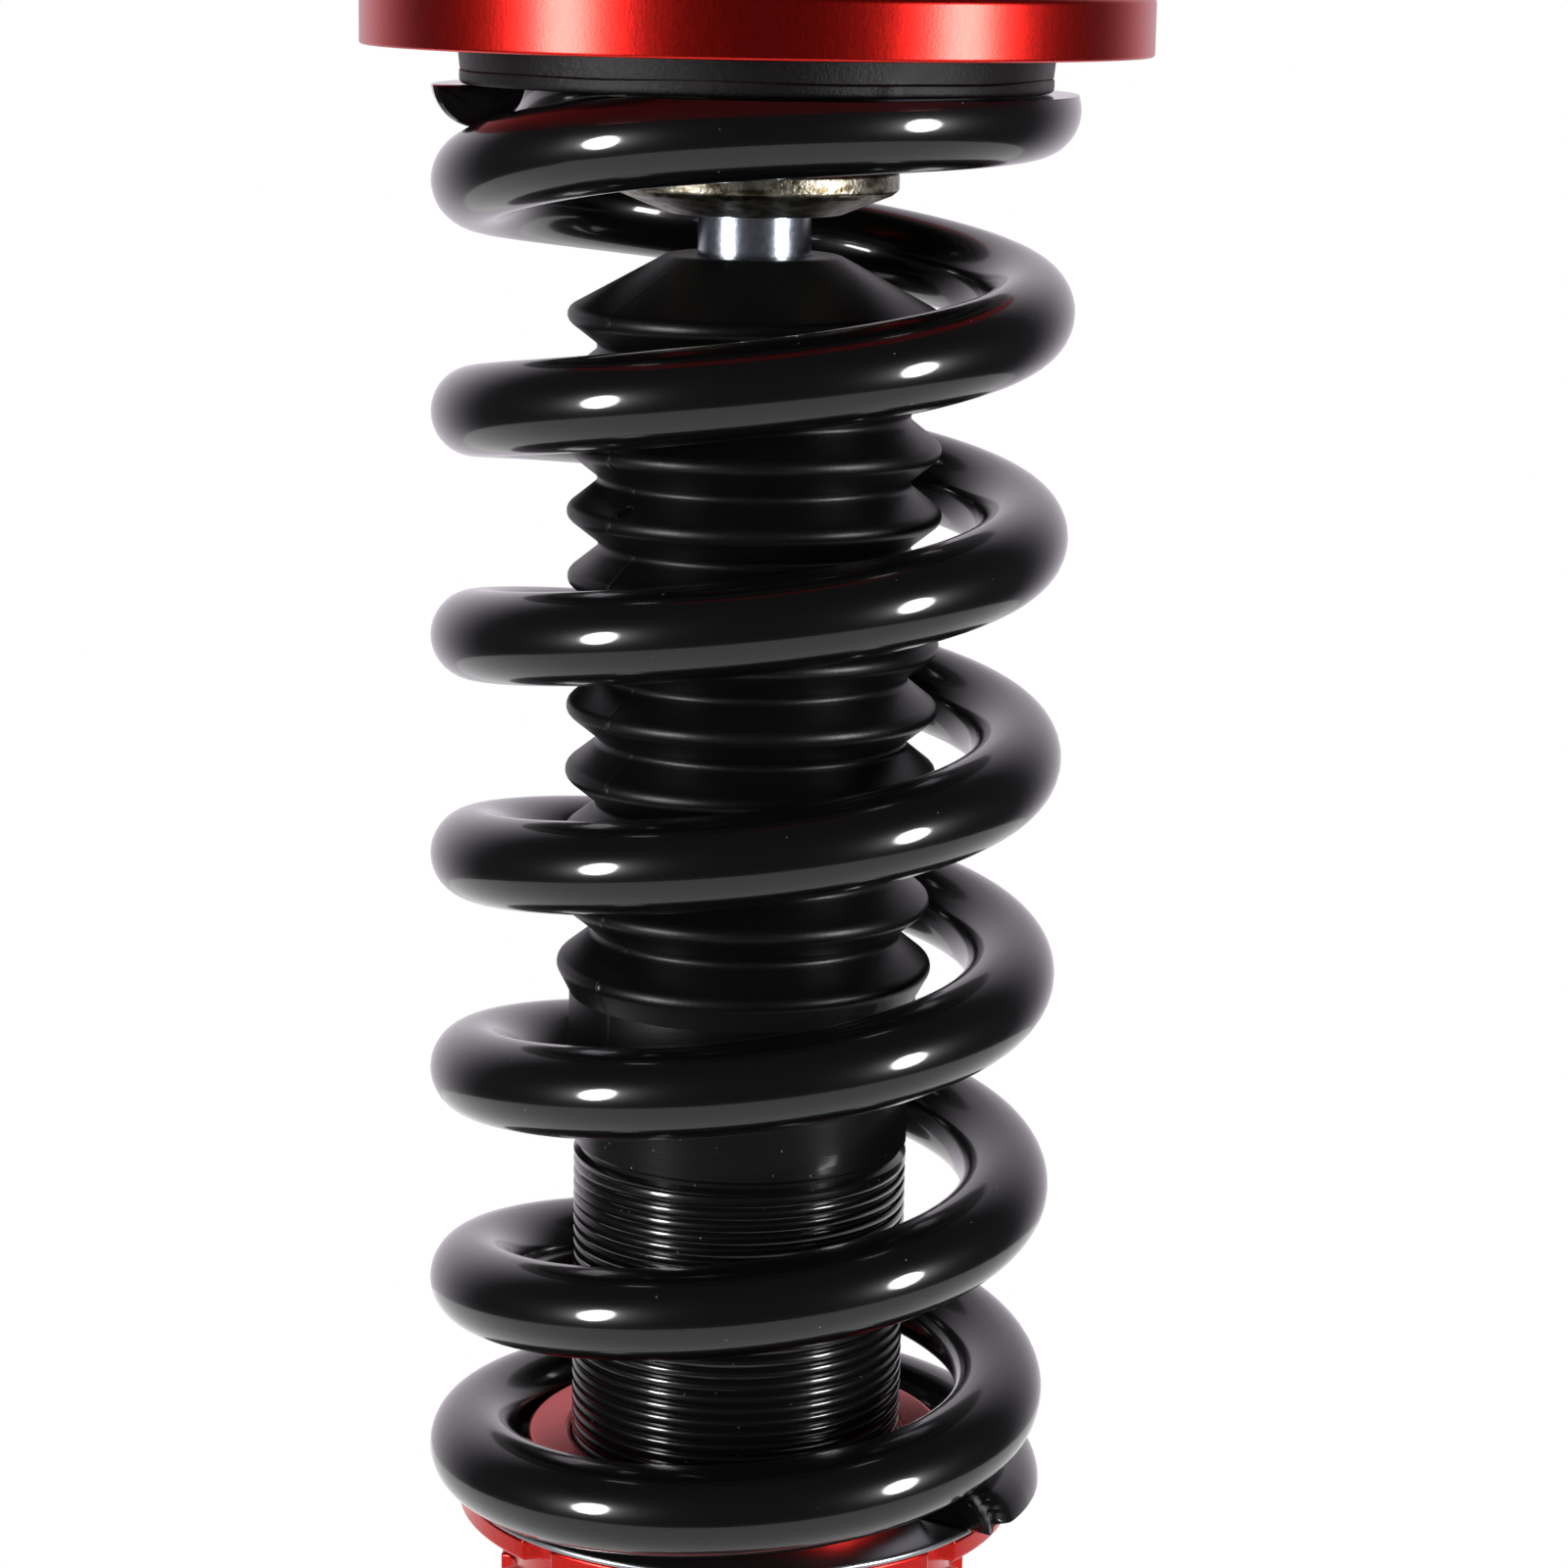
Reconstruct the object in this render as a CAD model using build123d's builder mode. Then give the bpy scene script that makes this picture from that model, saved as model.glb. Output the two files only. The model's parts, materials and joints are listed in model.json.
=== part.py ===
"""Coilover: a height-adjustable damper with its coil spring, lower bracket and upper mount.

Millimetres, +Z up along the damper, origin at the centre of the lower eye, whose bolt runs
along Y. Everything is at its stored pose: rod fully out, spring preloaded.
"""

from build123d import *
from math import cos, radians, sin, tau
import os

os.makedirs("parts", exist_ok=True)

# ---- driving dimensions ---------------------------------------------------------------------

FIT = 0.05  # radial clearance of a running or threaded fit
SLIP = 0.3  # space between pieces that must not touch
EDGE = 1.0  # chamfer on the outer edges of turned pieces
FINE_EDGE = 0.5

# spring: 70.5 inside, 14 wire, 230 free, 10 kgf/mm, held at its preloaded length
WIRE_R = 7.0
COIL_R = 42.25
COIL_TURNS = 7.632
COIL_LENGTH = 220.6
COIL_START = -38.0  # degrees round from +X to the bottom tip
LOW_TIP = -1.4  # height of the wire's centre above the bottom ground face, at the tip
TOP_TIP = 0.8  # height of the wire's centre above the top ground face, at the tip
LOW_PITCH = 9.3  # closed turns below, and the ramp from them to the open pitch
LOW_TURNS = 0.32
LOW_RAMP = 1.07
TOP_PITCH = 5.75  # closed turns above
TOP_TURNS = 0.656
TOP_RAMP = 0.25
LIFT = 2.73  # the last open turn stands this much wider than the others
LIFT_START = 6.5455
LIFT_TURNS = 0.263
COIL_POINTS_PER_TURN = 20

# damper body and its fits
BODY_R = 26.5
BODY_BORE_R = 22.0
BODY_BOTTOM = 67.0
BODY_TOP = 314.0
BODY_FOOT_CHAMFER = 1.2
BODY_TOP_CHAMFER = 0.6
THREAD_TOP = 286.0
RELIEF_WIDTH = 2.0
RELIEF_DEPTH = 0.9
INNER_R = BODY_BORE_R - FIT
THREAD_BORE_R = BODY_R + FIT

# rod
ROD_R = 7.0
ROD_TAIL_R = 5.0
ROD_PIN_R = 6.0
ROD_HOLLOW_R = 2.6
ROD_STEP = 274.0
ROD_SHOULDER = 424.0
ROD_CHAMFER = 0.8

# seats
SEAT = 232.0
WASHER_THICK = 1.0
WASHER_R = 44.8
FLANGE_R = 44.5
FLANGE_THICK = 3.5
PERCH_HUB_R = 35.3
PERCH_HUB_BOTTOM = 216.0
PERCH_BOSS_R = 33.6
PERCH_BOSS_HEIGHT = 6.8
NOTCH_COUNT = 8
NOTCH_R = 3.0
NOTCH_DEPTH = 2.7
RING_R = 38.0
RING_THICK = 9.7

# lower bracket
EYE_R = 23.0
EYE_WIDTH = 38.0
EYE_BORE_R = 19.0
SLEEVE_R = 9.0
SLEEVE_BORE_R = 6.1
SLEEVE_LENGTH = 48.0
SLEEVE_CHAMFER = 0.6
SHELL_BORE_R = EYE_BORE_R - 1.5
RUBBER_BULGE = 3.0
RUBBER_CHAMFER = 1.4
NECK_INSET = 4.0
NECK_CORNER_R = 8.0
NECK_TAPER = 20.0
NECK_R = 17.0
CUP_R = 33.0
CUP_BOTTOM = 34.0
CUP_FLOOR = 40.0
CUP_TOP = 110.0

# upper mount
PLATE_BOTTOM = 458.5
PLATE_THICK = 9.0
PLATE_R = 60.0
PLATE_BORE_R = 14.2
HUB_R = 28.0
HUB_HEIGHT = 6.0
STUD_R = 5.0
STUD_SHANK_R = 5.5
STUD_CIRCLE_R = 47.0
STUD_COUNT = 3
STUD_TOP = 500.0
ISOLATOR_R = 45.75
ISOLATOR_BORE_R = 32.0
BUSH_R = 19.8
BUSH_HEIGHT = 13.5
CUP_WASHER_R = 22.0
CUP_WASHER_BOTTOM = 434.0
CUP_WASHER_FLOOR_R = 13.5
CUP_WASHER_RISE = 6.6
CUP_WASHER_THICK = 2.4
SPACER_R = 8.65
CRUSH_R = 8.0
PIN_SLIP_R = ROD_PIN_R + FIT

# dust boot and bump stop
BOOT_RIMS = 11
BOOT_RIM_R = 30.0
BOOT_VALLEY_R = 23.6
BOOT_WALL = 1.2
BOOT_FIRST_RIM = 316.8
BOOT_LAST_RIM = 418.5
BOOT_TOP = 428.5
BOOT_TOP_R = 13.0
BOOT_LID = 1.5
BOOT_SKIRT_R = 27.4
BOOT_SKIRT_BOTTOM = 298.0
BOOT_SKIRT_TOP = 312.0
BUMP_R = 19.0
BUMP_LENGTH = 34.0
TOP_OUT_R = 11.0

PLATE_TOP = PLATE_BOTTOM + PLATE_THICK
COIL_TOP = SEAT + COIL_LENGTH
WASHER_BOTTOM = SEAT - WASHER_THICK
WASHER_GAP = 0.5
PERCH_TOP = WASHER_BOTTOM - 0.1
FLANGE_BOTTOM = PERCH_TOP - FLANGE_THICK


# ---- shapes that several pieces share -------------------------------------------------------


def ring(outer, inner, bottom, top, mode=Mode.ADD):
    """Plain ring or disc between two radii, from one height to another."""
    with BuildSketch(Plane.XY.offset(bottom)) as section:
        Circle(outer)
        if inner > 0:
            Circle(inner, mode=Mode.SUBTRACT)
    extrude(section.sketch, amount=top - bottom, mode=mode)


def turned(*outline, mode=Mode.ADD):
    """Solid turned about the damper's axis from (radius, height) corners."""
    with BuildSketch(Plane.XZ) as profile:
        with BuildLine():
            Polyline(*outline, close=True)
        make_face()
    revolve(profile.sketch, axis=Axis.Z, mode=mode)


def round_ring(centre_r, height, section_r):
    """Ring of round section, such as an O-ring."""
    with BuildSketch(Plane.XZ) as section:
        with Locations((centre_r, height)):
            Circle(section_r)
    revolve(section.sketch, axis=Axis.Z)


def spanner_notches(outer, bottom, top):
    """Round notches for a pin spanner, evenly round a rim."""
    with BuildSketch(Plane.XY.offset(bottom)) as notches:
        with PolarLocations(outer - NOTCH_DEPTH + NOTCH_R, NOTCH_COUNT):
            Circle(NOTCH_R)
    extrude(notches.sketch, amount=top - bottom, mode=Mode.SUBTRACT)


def lock_ring(bottom):
    """Threaded lock ring with chamfered edges and spanner notches."""
    top = bottom + RING_THICK
    turned(
        (THREAD_BORE_R, bottom),
        (RING_R - EDGE, bottom),
        (RING_R, bottom + EDGE),
        (RING_R, top - EDGE),
        (RING_R - EDGE, top),
        (THREAD_BORE_R, top),
    )
    spanner_notches(RING_R, bottom, top)


def hexagon_nut(across_flats, hole_r, bottom, top):
    """Plain hexagon nut."""
    with BuildSketch(Plane.XY.offset(bottom)) as flats:
        RegularPolygon(radius=across_flats / 2, side_count=6, major_radius=False)
        Circle(hole_r, mode=Mode.SUBTRACT)
    extrude(flats.sketch, amount=top - bottom)


def eye_tube(outer, inner, width):
    """Tube across the lower eye, centred on the origin."""
    with BuildSketch(Plane.XZ.offset(-width / 2)) as section:
        Circle(outer)
        Circle(inner, mode=Mode.SUBTRACT)
    extrude(section.sketch, amount=width)


def ramp(turns):
    """Area under a smooth step that rises over one unit and then stays at one."""
    if turns <= 0:
        return 0.0
    if turns >= 1:
        return turns - 0.5
    return turns**3 - turns**4 / 2


def coil_height(turns):
    """Height of the wire's centre: closed ends, blended into an even pitch between them, whose last
    turn lifts a little more."""
    top_start = COIL_TURNS - TOP_TURNS - TOP_RAMP
    closing = TOP_TURNS + TOP_RAMP / 2
    climb = COIL_LENGTH + TOP_TIP - LOW_TIP - LIFT
    spare = climb - LOW_PITCH * COIL_TURNS + (LOW_PITCH - TOP_PITCH) * closing
    extra = spare / (COIL_TURNS - LOW_TURNS - LOW_RAMP / 2 - closing)
    opening = extra * LOW_RAMP * ramp((turns - LOW_TURNS) / LOW_RAMP)
    closed = (extra + LOW_PITCH - TOP_PITCH) * TOP_RAMP * ramp((turns - top_start) / TOP_RAMP)
    part = min(max((turns - LIFT_START) / LIFT_TURNS, 0), 1)
    lift = LIFT * part**2 * (3 - 2 * part)
    return SEAT + LOW_TIP + LOW_PITCH * turns + opening - closed + lift


# ---- lower bracket and its bush -------------------------------------------------------------

with BuildPart() as bracket_eye:
    with BuildSketch(Plane.XZ.offset(-EYE_WIDTH / 2)):
        Circle(EYE_R)
    extrude(amount=EYE_WIDTH)
    with BuildSketch(Plane.XY):
        RectangleRounded(2 * EYE_R - NECK_INSET, EYE_WIDTH - NECK_INSET, NECK_CORNER_R)
    extrude(amount=CUP_BOTTOM)
    turned((0, NECK_TAPER), (NECK_R, NECK_TAPER), (CUP_R - 2 * EDGE, CUP_BOTTOM), (0, CUP_BOTTOM))
    with BuildSketch(Plane.XZ.offset(-EYE_WIDTH / 2)):
        Circle(EYE_BORE_R)
    extrude(amount=EYE_WIDTH, mode=Mode.SUBTRACT)
bracket_eye.part.label = "bracket_eye"
export_step(bracket_eye.part, "parts/bracket_eye.step")

with BuildPart() as bracket_cup:
    turned(
        (0, CUP_BOTTOM),
        (CUP_R - 2 * EDGE, CUP_BOTTOM),
        (CUP_R, CUP_BOTTOM + 2 * EDGE),
        (CUP_R, CUP_TOP - EDGE),
        (CUP_R - EDGE, CUP_TOP),
        (THREAD_BORE_R, CUP_TOP),
        (THREAD_BORE_R, CUP_FLOOR),
        (0, CUP_FLOOR),
    )
bracket_cup.part.label = "bracket_cup"
export_step(bracket_cup.part, "parts/bracket_cup.step")

with BuildPart() as bush_shell:
    eye_tube(EYE_BORE_R - FIT, SHELL_BORE_R, EYE_WIDTH)
bush_shell.part.label = "bush_shell"
export_step(bush_shell.part, "parts/bush_shell.step")

with BuildPart() as bush_rubber:
    eye_tube(SHELL_BORE_R - FIT, SLEEVE_R + FIT, EYE_WIDTH + RUBBER_BULGE)
    chamfer(bush_rubber.edges().filter_by(GeomType.CIRCLE).group_by(SortBy.RADIUS)[-1], RUBBER_CHAMFER)
bush_rubber.part.label = "bush_rubber"
export_step(bush_rubber.part, "parts/bush_rubber.step")

with BuildPart() as bush_sleeve:
    eye_tube(SLEEVE_R, SLEEVE_BORE_R, SLEEVE_LENGTH)
    chamfer(bush_sleeve.edges().filter_by(GeomType.CIRCLE).group_by(SortBy.RADIUS)[-1], SLEEVE_CHAMFER)
bush_sleeve.part.label = "bush_sleeve"
export_step(bush_sleeve.part, "parts/bush_sleeve.step")

with BuildPart() as bracket_lock_ring:
    lock_ring(CUP_TOP)
bracket_lock_ring.part.label = "bracket_lock_ring"
export_step(bracket_lock_ring.part, "parts/bracket_lock_ring.step")

# ---- damper body and what is fixed inside it ------------------------------------------------

with BuildPart() as threaded_body:
    turned(
        (BODY_BORE_R, BODY_BOTTOM),
        (BODY_R - BODY_FOOT_CHAMFER, BODY_BOTTOM),
        (BODY_R, BODY_BOTTOM + BODY_FOOT_CHAMFER),
        (BODY_R, THREAD_TOP),
        (BODY_R - RELIEF_DEPTH, THREAD_TOP + RELIEF_DEPTH),
        (BODY_R - RELIEF_DEPTH, THREAD_TOP + RELIEF_WIDTH - RELIEF_DEPTH),
        (BODY_R, THREAD_TOP + RELIEF_WIDTH),
        (BODY_R, BODY_TOP - BODY_TOP_CHAMFER),
        (BODY_R - BODY_TOP_CHAMFER, BODY_TOP),
        (BODY_BORE_R, BODY_TOP),
    )
threaded_body.part.label = "threaded_body"
export_step(threaded_body.part, "parts/threaded_body.step")

PLUG_TOP = BODY_BOTTOM + 14
PLUG_GROOVE = BODY_BOTTOM + 7
SCREW_SEAT = BODY_BOTTOM + 5
GROOVE_R = INNER_R - 2.05
GROOVE_HALF = 1.3
SEAL_R = 1.0
SEAL_CENTRE_R = INNER_R - SEAL_R - 0.02
SCREW_R = 4.0
SCREW_HEAD_R = 6.5
SCREW_SUNK = 0.4
SCREW_GAP = 0.5
KEY_SIZE = 6.0
KEY_DEPTH = 3.0

with BuildPart() as base_plug:
    ring(INNER_R, 0, BODY_BOTTOM, PLUG_TOP)
    ring(INNER_R + 1, GROOVE_R, PLUG_GROOVE - GROOVE_HALF, PLUG_GROOVE + GROOVE_HALF, mode=Mode.SUBTRACT)
    ring(SCREW_HEAD_R + SCREW_GAP, 0, BODY_BOTTOM, SCREW_SEAT, mode=Mode.SUBTRACT)
    ring(SCREW_R + FIT, 0, SCREW_SEAT, PLUG_TOP, mode=Mode.SUBTRACT)
base_plug.part.label = "base_plug"
export_step(base_plug.part, "parts/base_plug.step")

with BuildPart() as base_plug_oring:
    round_ring(SEAL_CENTRE_R, PLUG_GROOVE, SEAL_R)
base_plug_oring.part.label = "base_plug_oring"
export_step(base_plug_oring.part, "parts/base_plug_oring.step")

with BuildPart() as fill_screw:
    ring(SCREW_HEAD_R, 0, BODY_BOTTOM + SCREW_SUNK, SCREW_SEAT)
    ring(SCREW_R, 0, SCREW_SEAT, PLUG_TOP)
    with BuildSketch(Plane.XY.offset(BODY_BOTTOM + SCREW_SUNK)):
        RegularPolygon(radius=KEY_SIZE / 2, side_count=6, major_radius=False)
    extrude(amount=KEY_DEPTH, mode=Mode.SUBTRACT)
fill_screw.part.label = "fill_screw"
export_step(fill_screw.part, "parts/fill_screw.step")

GUIDE_BOTTOM = BODY_TOP - 24
GUIDE_TOP = BODY_TOP - 8
GUIDE_GROOVE = GUIDE_BOTTOM + 8
GUIDE_BORE_R = ROD_R + 1.5
WIPER_R = ROD_R + 4
WIPER_LIP = 3.0
ROD_SEAL_R = 12.0
SEAL_TOP = GUIDE_TOP + 4
PIN_HOLE_CIRCLE_R = 16.5
PIN_HOLE_R = 2.0
PIN_HOLE_DEPTH = 4.0

with BuildPart() as rod_guide:
    ring(INNER_R, GUIDE_BORE_R, GUIDE_BOTTOM, GUIDE_TOP)
    ring(INNER_R + 1, GROOVE_R, GUIDE_GROOVE - GROOVE_HALF, GUIDE_GROOVE + GROOVE_HALF, mode=Mode.SUBTRACT)
rod_guide.part.label = "rod_guide"
export_step(rod_guide.part, "parts/rod_guide.step")

with BuildPart() as rod_guide_oring:
    round_ring(SEAL_CENTRE_R, GUIDE_GROOVE, SEAL_R)
rod_guide_oring.part.label = "rod_guide_oring"
export_step(rod_guide_oring.part, "parts/rod_guide_oring.step")

with BuildPart() as guide_bush:
    ring(GUIDE_BORE_R - FIT, ROD_R + FIT, GUIDE_BOTTOM + 1, GUIDE_TOP - 1)
guide_bush.part.label = "guide_bush"
export_step(guide_bush.part, "parts/guide_bush.step")

with BuildPart() as rod_seal:
    ring(ROD_SEAL_R, ROD_R + FIT, GUIDE_TOP, SEAL_TOP)
rod_seal.part.label = "rod_seal"
export_step(rod_seal.part, "parts/rod_seal.step")

with BuildPart() as gland_nut:
    turned(
        (ROD_SEAL_R + FIT, GUIDE_TOP),
        (INNER_R, GUIDE_TOP),
        (INNER_R, BODY_TOP),
        (WIPER_R + FIT, BODY_TOP),
        (WIPER_R + FIT, SEAL_TOP),
        (ROD_SEAL_R + FIT, SEAL_TOP),
    )
    with BuildSketch(Plane.XY.offset(BODY_TOP - PIN_HOLE_DEPTH)):
        with PolarLocations(PIN_HOLE_CIRCLE_R, 4):
            Circle(PIN_HOLE_R)
    extrude(amount=PIN_HOLE_DEPTH, mode=Mode.SUBTRACT)
gland_nut.part.label = "gland_nut"
export_step(gland_nut.part, "parts/gland_nut.step")

with BuildPart() as dust_wiper:
    ring(WIPER_R, ROD_R + FIT, SEAL_TOP, BODY_TOP)
    turned(
        (ROD_R, BODY_TOP),
        (WIPER_R - EDGE, BODY_TOP),
        (ROD_R, BODY_TOP - WIPER_LIP),
        mode=Mode.SUBTRACT,
    )
dust_wiper.part.label = "dust_wiper"
export_step(dust_wiper.part, "parts/dust_wiper.step")

# ---- floating piston ------------------------------------------------------------------------

FLOAT_BOTTOM = 112.0
FLOAT_TOP = FLOAT_BOTTOM + 14
FLOAT_GROOVE = FLOAT_BOTTOM + 7
FLOAT_HOLLOW_R = 16.0

with BuildPart() as floating_piston:
    ring(INNER_R, 0, FLOAT_BOTTOM, FLOAT_TOP)
    ring(INNER_R + 1, GROOVE_R, FLOAT_GROOVE - GROOVE_HALF, FLOAT_GROOVE + GROOVE_HALF, mode=Mode.SUBTRACT)
    ring(FLOAT_HOLLOW_R, 0, FLOAT_BOTTOM, FLOAT_BOTTOM + 6, mode=Mode.SUBTRACT)
floating_piston.part.label = "floating_piston"
export_step(floating_piston.part, "parts/floating_piston.step")

with BuildPart() as floating_piston_oring:
    round_ring(SEAL_CENTRE_R, FLOAT_GROOVE, SEAL_R)
floating_piston_oring.part.label = "floating_piston_oring"
export_step(floating_piston_oring.part, "parts/floating_piston_oring.step")

# ---- rod and what is fixed to it ------------------------------------------------------------

SHIM_THICK = 3.0
SHIM_RADII = (17, 14, 11)
PISTON_THICK = 14.0
PISTON_NUT_THICK = 8.0
PISTON_NUT_FLATS = 17.0
PORT_CIRCLE_R = 13.5
PORT_R = 2.5
BAND_SEAT_R = BODY_BORE_R - 1.7
BAND_INSET = 3.0
PISTON_GAP = 0.6
PISTON_TOP = ROD_STEP - SHIM_THICK
PISTON_BOTTOM = PISTON_TOP - PISTON_THICK
ROD_BOTTOM = PISTON_BOTTOM - SHIM_THICK - PISTON_NUT_THICK - 1
ROD_TOP = 500.0
TAIL_FIT_R = ROD_TAIL_R + FIT

with BuildPart() as piston_rod:
    ring(ROD_TAIL_R, 0, ROD_BOTTOM, ROD_STEP)
    ring(ROD_R, 0, ROD_STEP, ROD_SHOULDER)
    ring(ROD_PIN_R, 0, ROD_SHOULDER, ROD_TOP)
    ring(ROD_HOLLOW_R, 0, ROD_BOTTOM, ROD_TOP, mode=Mode.SUBTRACT)
    chamfer(piston_rod.edges().group_by(Axis.Z)[-1].sort_by(SortBy.RADIUS)[-1], ROD_CHAMFER)
piston_rod.part.label = "piston_rod"
export_step(piston_rod.part, "parts/piston_rod.step")

with BuildPart() as piston:
    ring(BODY_BORE_R - PISTON_GAP, TAIL_FIT_R, PISTON_BOTTOM, PISTON_TOP)
    ring(
        BODY_BORE_R,
        BAND_SEAT_R,
        PISTON_BOTTOM + BAND_INSET,
        PISTON_TOP - BAND_INSET,
        mode=Mode.SUBTRACT,
    )
    with BuildSketch(Plane.XY.offset(PISTON_BOTTOM)):
        with PolarLocations(PORT_CIRCLE_R, 6):
            Circle(PORT_R)
    extrude(amount=PISTON_THICK, mode=Mode.SUBTRACT)
piston.part.label = "piston"
export_step(piston.part, "parts/piston.step")

with BuildPart() as piston_band:
    ring(
        INNER_R,
        BAND_SEAT_R + FIT,
        PISTON_BOTTOM + BAND_INSET + 2 * FIT,
        PISTON_TOP - BAND_INSET - 2 * FIT,
    )
piston_band.part.label = "piston_band"
export_step(piston_band.part, "parts/piston_band.step")

with BuildPart() as compression_shims:
    for count, shim_r in enumerate(SHIM_RADII):
        ring(shim_r, TAIL_FIT_R, PISTON_BOTTOM - count - 1, PISTON_BOTTOM - count)
compression_shims.part.label = "compression_shims"
export_step(compression_shims.part, "parts/compression_shims.step")

with BuildPart() as rebound_shims:
    for count, shim_r in enumerate(SHIM_RADII):
        ring(shim_r, TAIL_FIT_R, PISTON_TOP + count, PISTON_TOP + count + 1)
rebound_shims.part.label = "rebound_shims"
export_step(rebound_shims.part, "parts/rebound_shims.step")

with BuildPart() as piston_nut:
    hexagon_nut(PISTON_NUT_FLATS, TAIL_FIT_R, ROD_BOTTOM + 1, PISTON_BOTTOM - SHIM_THICK)
piston_nut.part.label = "piston_nut"
export_step(piston_nut.part, "parts/piston_nut.step")

with BuildPart() as top_out_spacer:
    ring(TOP_OUT_R, ROD_R + FIT, ROD_STEP, GUIDE_BOTTOM - SLIP)
top_out_spacer.part.label = "top_out_spacer"
export_step(top_out_spacer.part, "parts/top_out_spacer.step")

BUMP_TOP = ROD_SHOULDER - 0.5
BUMP_BOTTOM = BUMP_TOP - BUMP_LENGTH
BUMP_WAIST = BUMP_BOTTOM + 0.55 * BUMP_LENGTH

with BuildPart() as bump_stop:
    turned(
        (ROD_R + FIT, BUMP_BOTTOM),
        (BUMP_R - 7, BUMP_BOTTOM),
        (BUMP_R - 2, BUMP_WAIST - 5),
        (BUMP_R - 5, BUMP_WAIST),
        (BUMP_R, BUMP_WAIST + 5),
        (BUMP_R, BUMP_TOP),
        (ROD_R + FIT, BUMP_TOP),
    )
bump_stop.part.label = "bump_stop"
export_step(bump_stop.part, "parts/bump_stop.step")

with BuildPart() as spacer_sleeve:
    ring(SPACER_R, PIN_SLIP_R, ROD_SHOULDER, CUP_WASHER_BOTTOM)
spacer_sleeve.part.label = "spacer_sleeve"
export_step(spacer_sleeve.part, "parts/spacer_sleeve.step")

CUP_CONE_RISE = 3.0
CUP_RIM_EDGE = 0.8
CUP_INNER_RISE = 5.0
CUP_INNER_INSET = 0.6
BUSH_CONE_RISE = CUP_INNER_RISE + 0.2


def cup_washer(floor, up):
    """Pressed dished washer: flat floor, cone and upright rim, opening up (1) or down (-1)."""
    inner_floor = floor + up * CUP_WASHER_THICK
    rim_edge = floor + up * CUP_WASHER_RISE
    turned(
        (PIN_SLIP_R, floor),
        (CUP_WASHER_FLOOR_R, floor),
        (CUP_WASHER_R - EDGE, floor + up * CUP_CONE_RISE),
        (CUP_WASHER_R, floor + up * (CUP_CONE_RISE + CUP_RIM_EDGE)),
        (CUP_WASHER_R, rim_edge),
        (BUSH_R + SLIP, rim_edge),
        (BUSH_R + SLIP, floor + up * CUP_INNER_RISE),
        (CUP_WASHER_FLOOR_R - CUP_INNER_INSET, inner_floor),
        (PIN_SLIP_R, inner_floor),
    )


BUSH_LOW = CUP_WASHER_BOTTOM + CUP_WASHER_THICK
UPPER_BUSH_TOP = PLATE_TOP + BUSH_HEIGHT
CRUSH_TOP = UPPER_BUSH_TOP
UPPER_WASHER_TOP = CRUSH_TOP + CUP_WASHER_THICK
NUT_TOP = UPPER_WASHER_TOP + 10
NUT_FLATS = 18.0
NUT_CHAMFER = 1.6

with BuildPart() as lower_cup_washer:
    cup_washer(CUP_WASHER_BOTTOM, 1)
lower_cup_washer.part.label = "lower_cup_washer"
export_step(lower_cup_washer.part, "parts/lower_cup_washer.step")

with BuildPart() as crush_tube:
    ring(CRUSH_R, PIN_SLIP_R, BUSH_LOW, CRUSH_TOP)
crush_tube.part.label = "crush_tube"
export_step(crush_tube.part, "parts/crush_tube.step")

with BuildPart() as upper_cup_washer:
    cup_washer(UPPER_WASHER_TOP, -1)
upper_cup_washer.part.label = "upper_cup_washer"
export_step(upper_cup_washer.part, "parts/upper_cup_washer.step")

with BuildPart() as rod_nut:
    hexagon_nut(NUT_FLATS, PIN_SLIP_R, UPPER_WASHER_TOP, NUT_TOP)
    turned(
        (NUT_FLATS / 2, NUT_TOP),
        (NUT_FLATS / 2 + 3, NUT_TOP),
        (NUT_FLATS / 2 + 3, NUT_TOP - NUT_CHAMFER),
        mode=Mode.SUBTRACT,
    )
rod_nut.part.label = "rod_nut"
export_step(rod_nut.part, "parts/rod_nut.step")

# ---- damping adjuster -----------------------------------------------------------------------

KNOB_BOTTOM = ROD_TOP + 1
KNOB_TOP = KNOB_BOTTOM + 15
KNOB_R = 10.5
KNOB_CHAMFER = 1.2
FLUTE_COUNT = 18
FLUTE_R = 1.2
FLUTE_TOP = KNOB_TOP - 4
GRUB_R = 1.5
GRUB_LENGTH = 5.0
GRUB_HEIGHT = KNOB_BOTTOM + 5
NEEDLE_R = ROD_HOLLOW_R - 0.1
NEEDLE_BOTTOM = ROD_BOTTOM + 8
NEEDLE_TOP = KNOB_TOP - 3

with BuildPart() as adjuster_needle:
    turned(
        (0, NEEDLE_BOTTOM),
        (NEEDLE_R, NEEDLE_BOTTOM + 9),
        (NEEDLE_R, NEEDLE_TOP),
        (0, NEEDLE_TOP),
    )
adjuster_needle.part.label = "adjuster_needle"
export_step(adjuster_needle.part, "parts/adjuster_needle.step")

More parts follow.
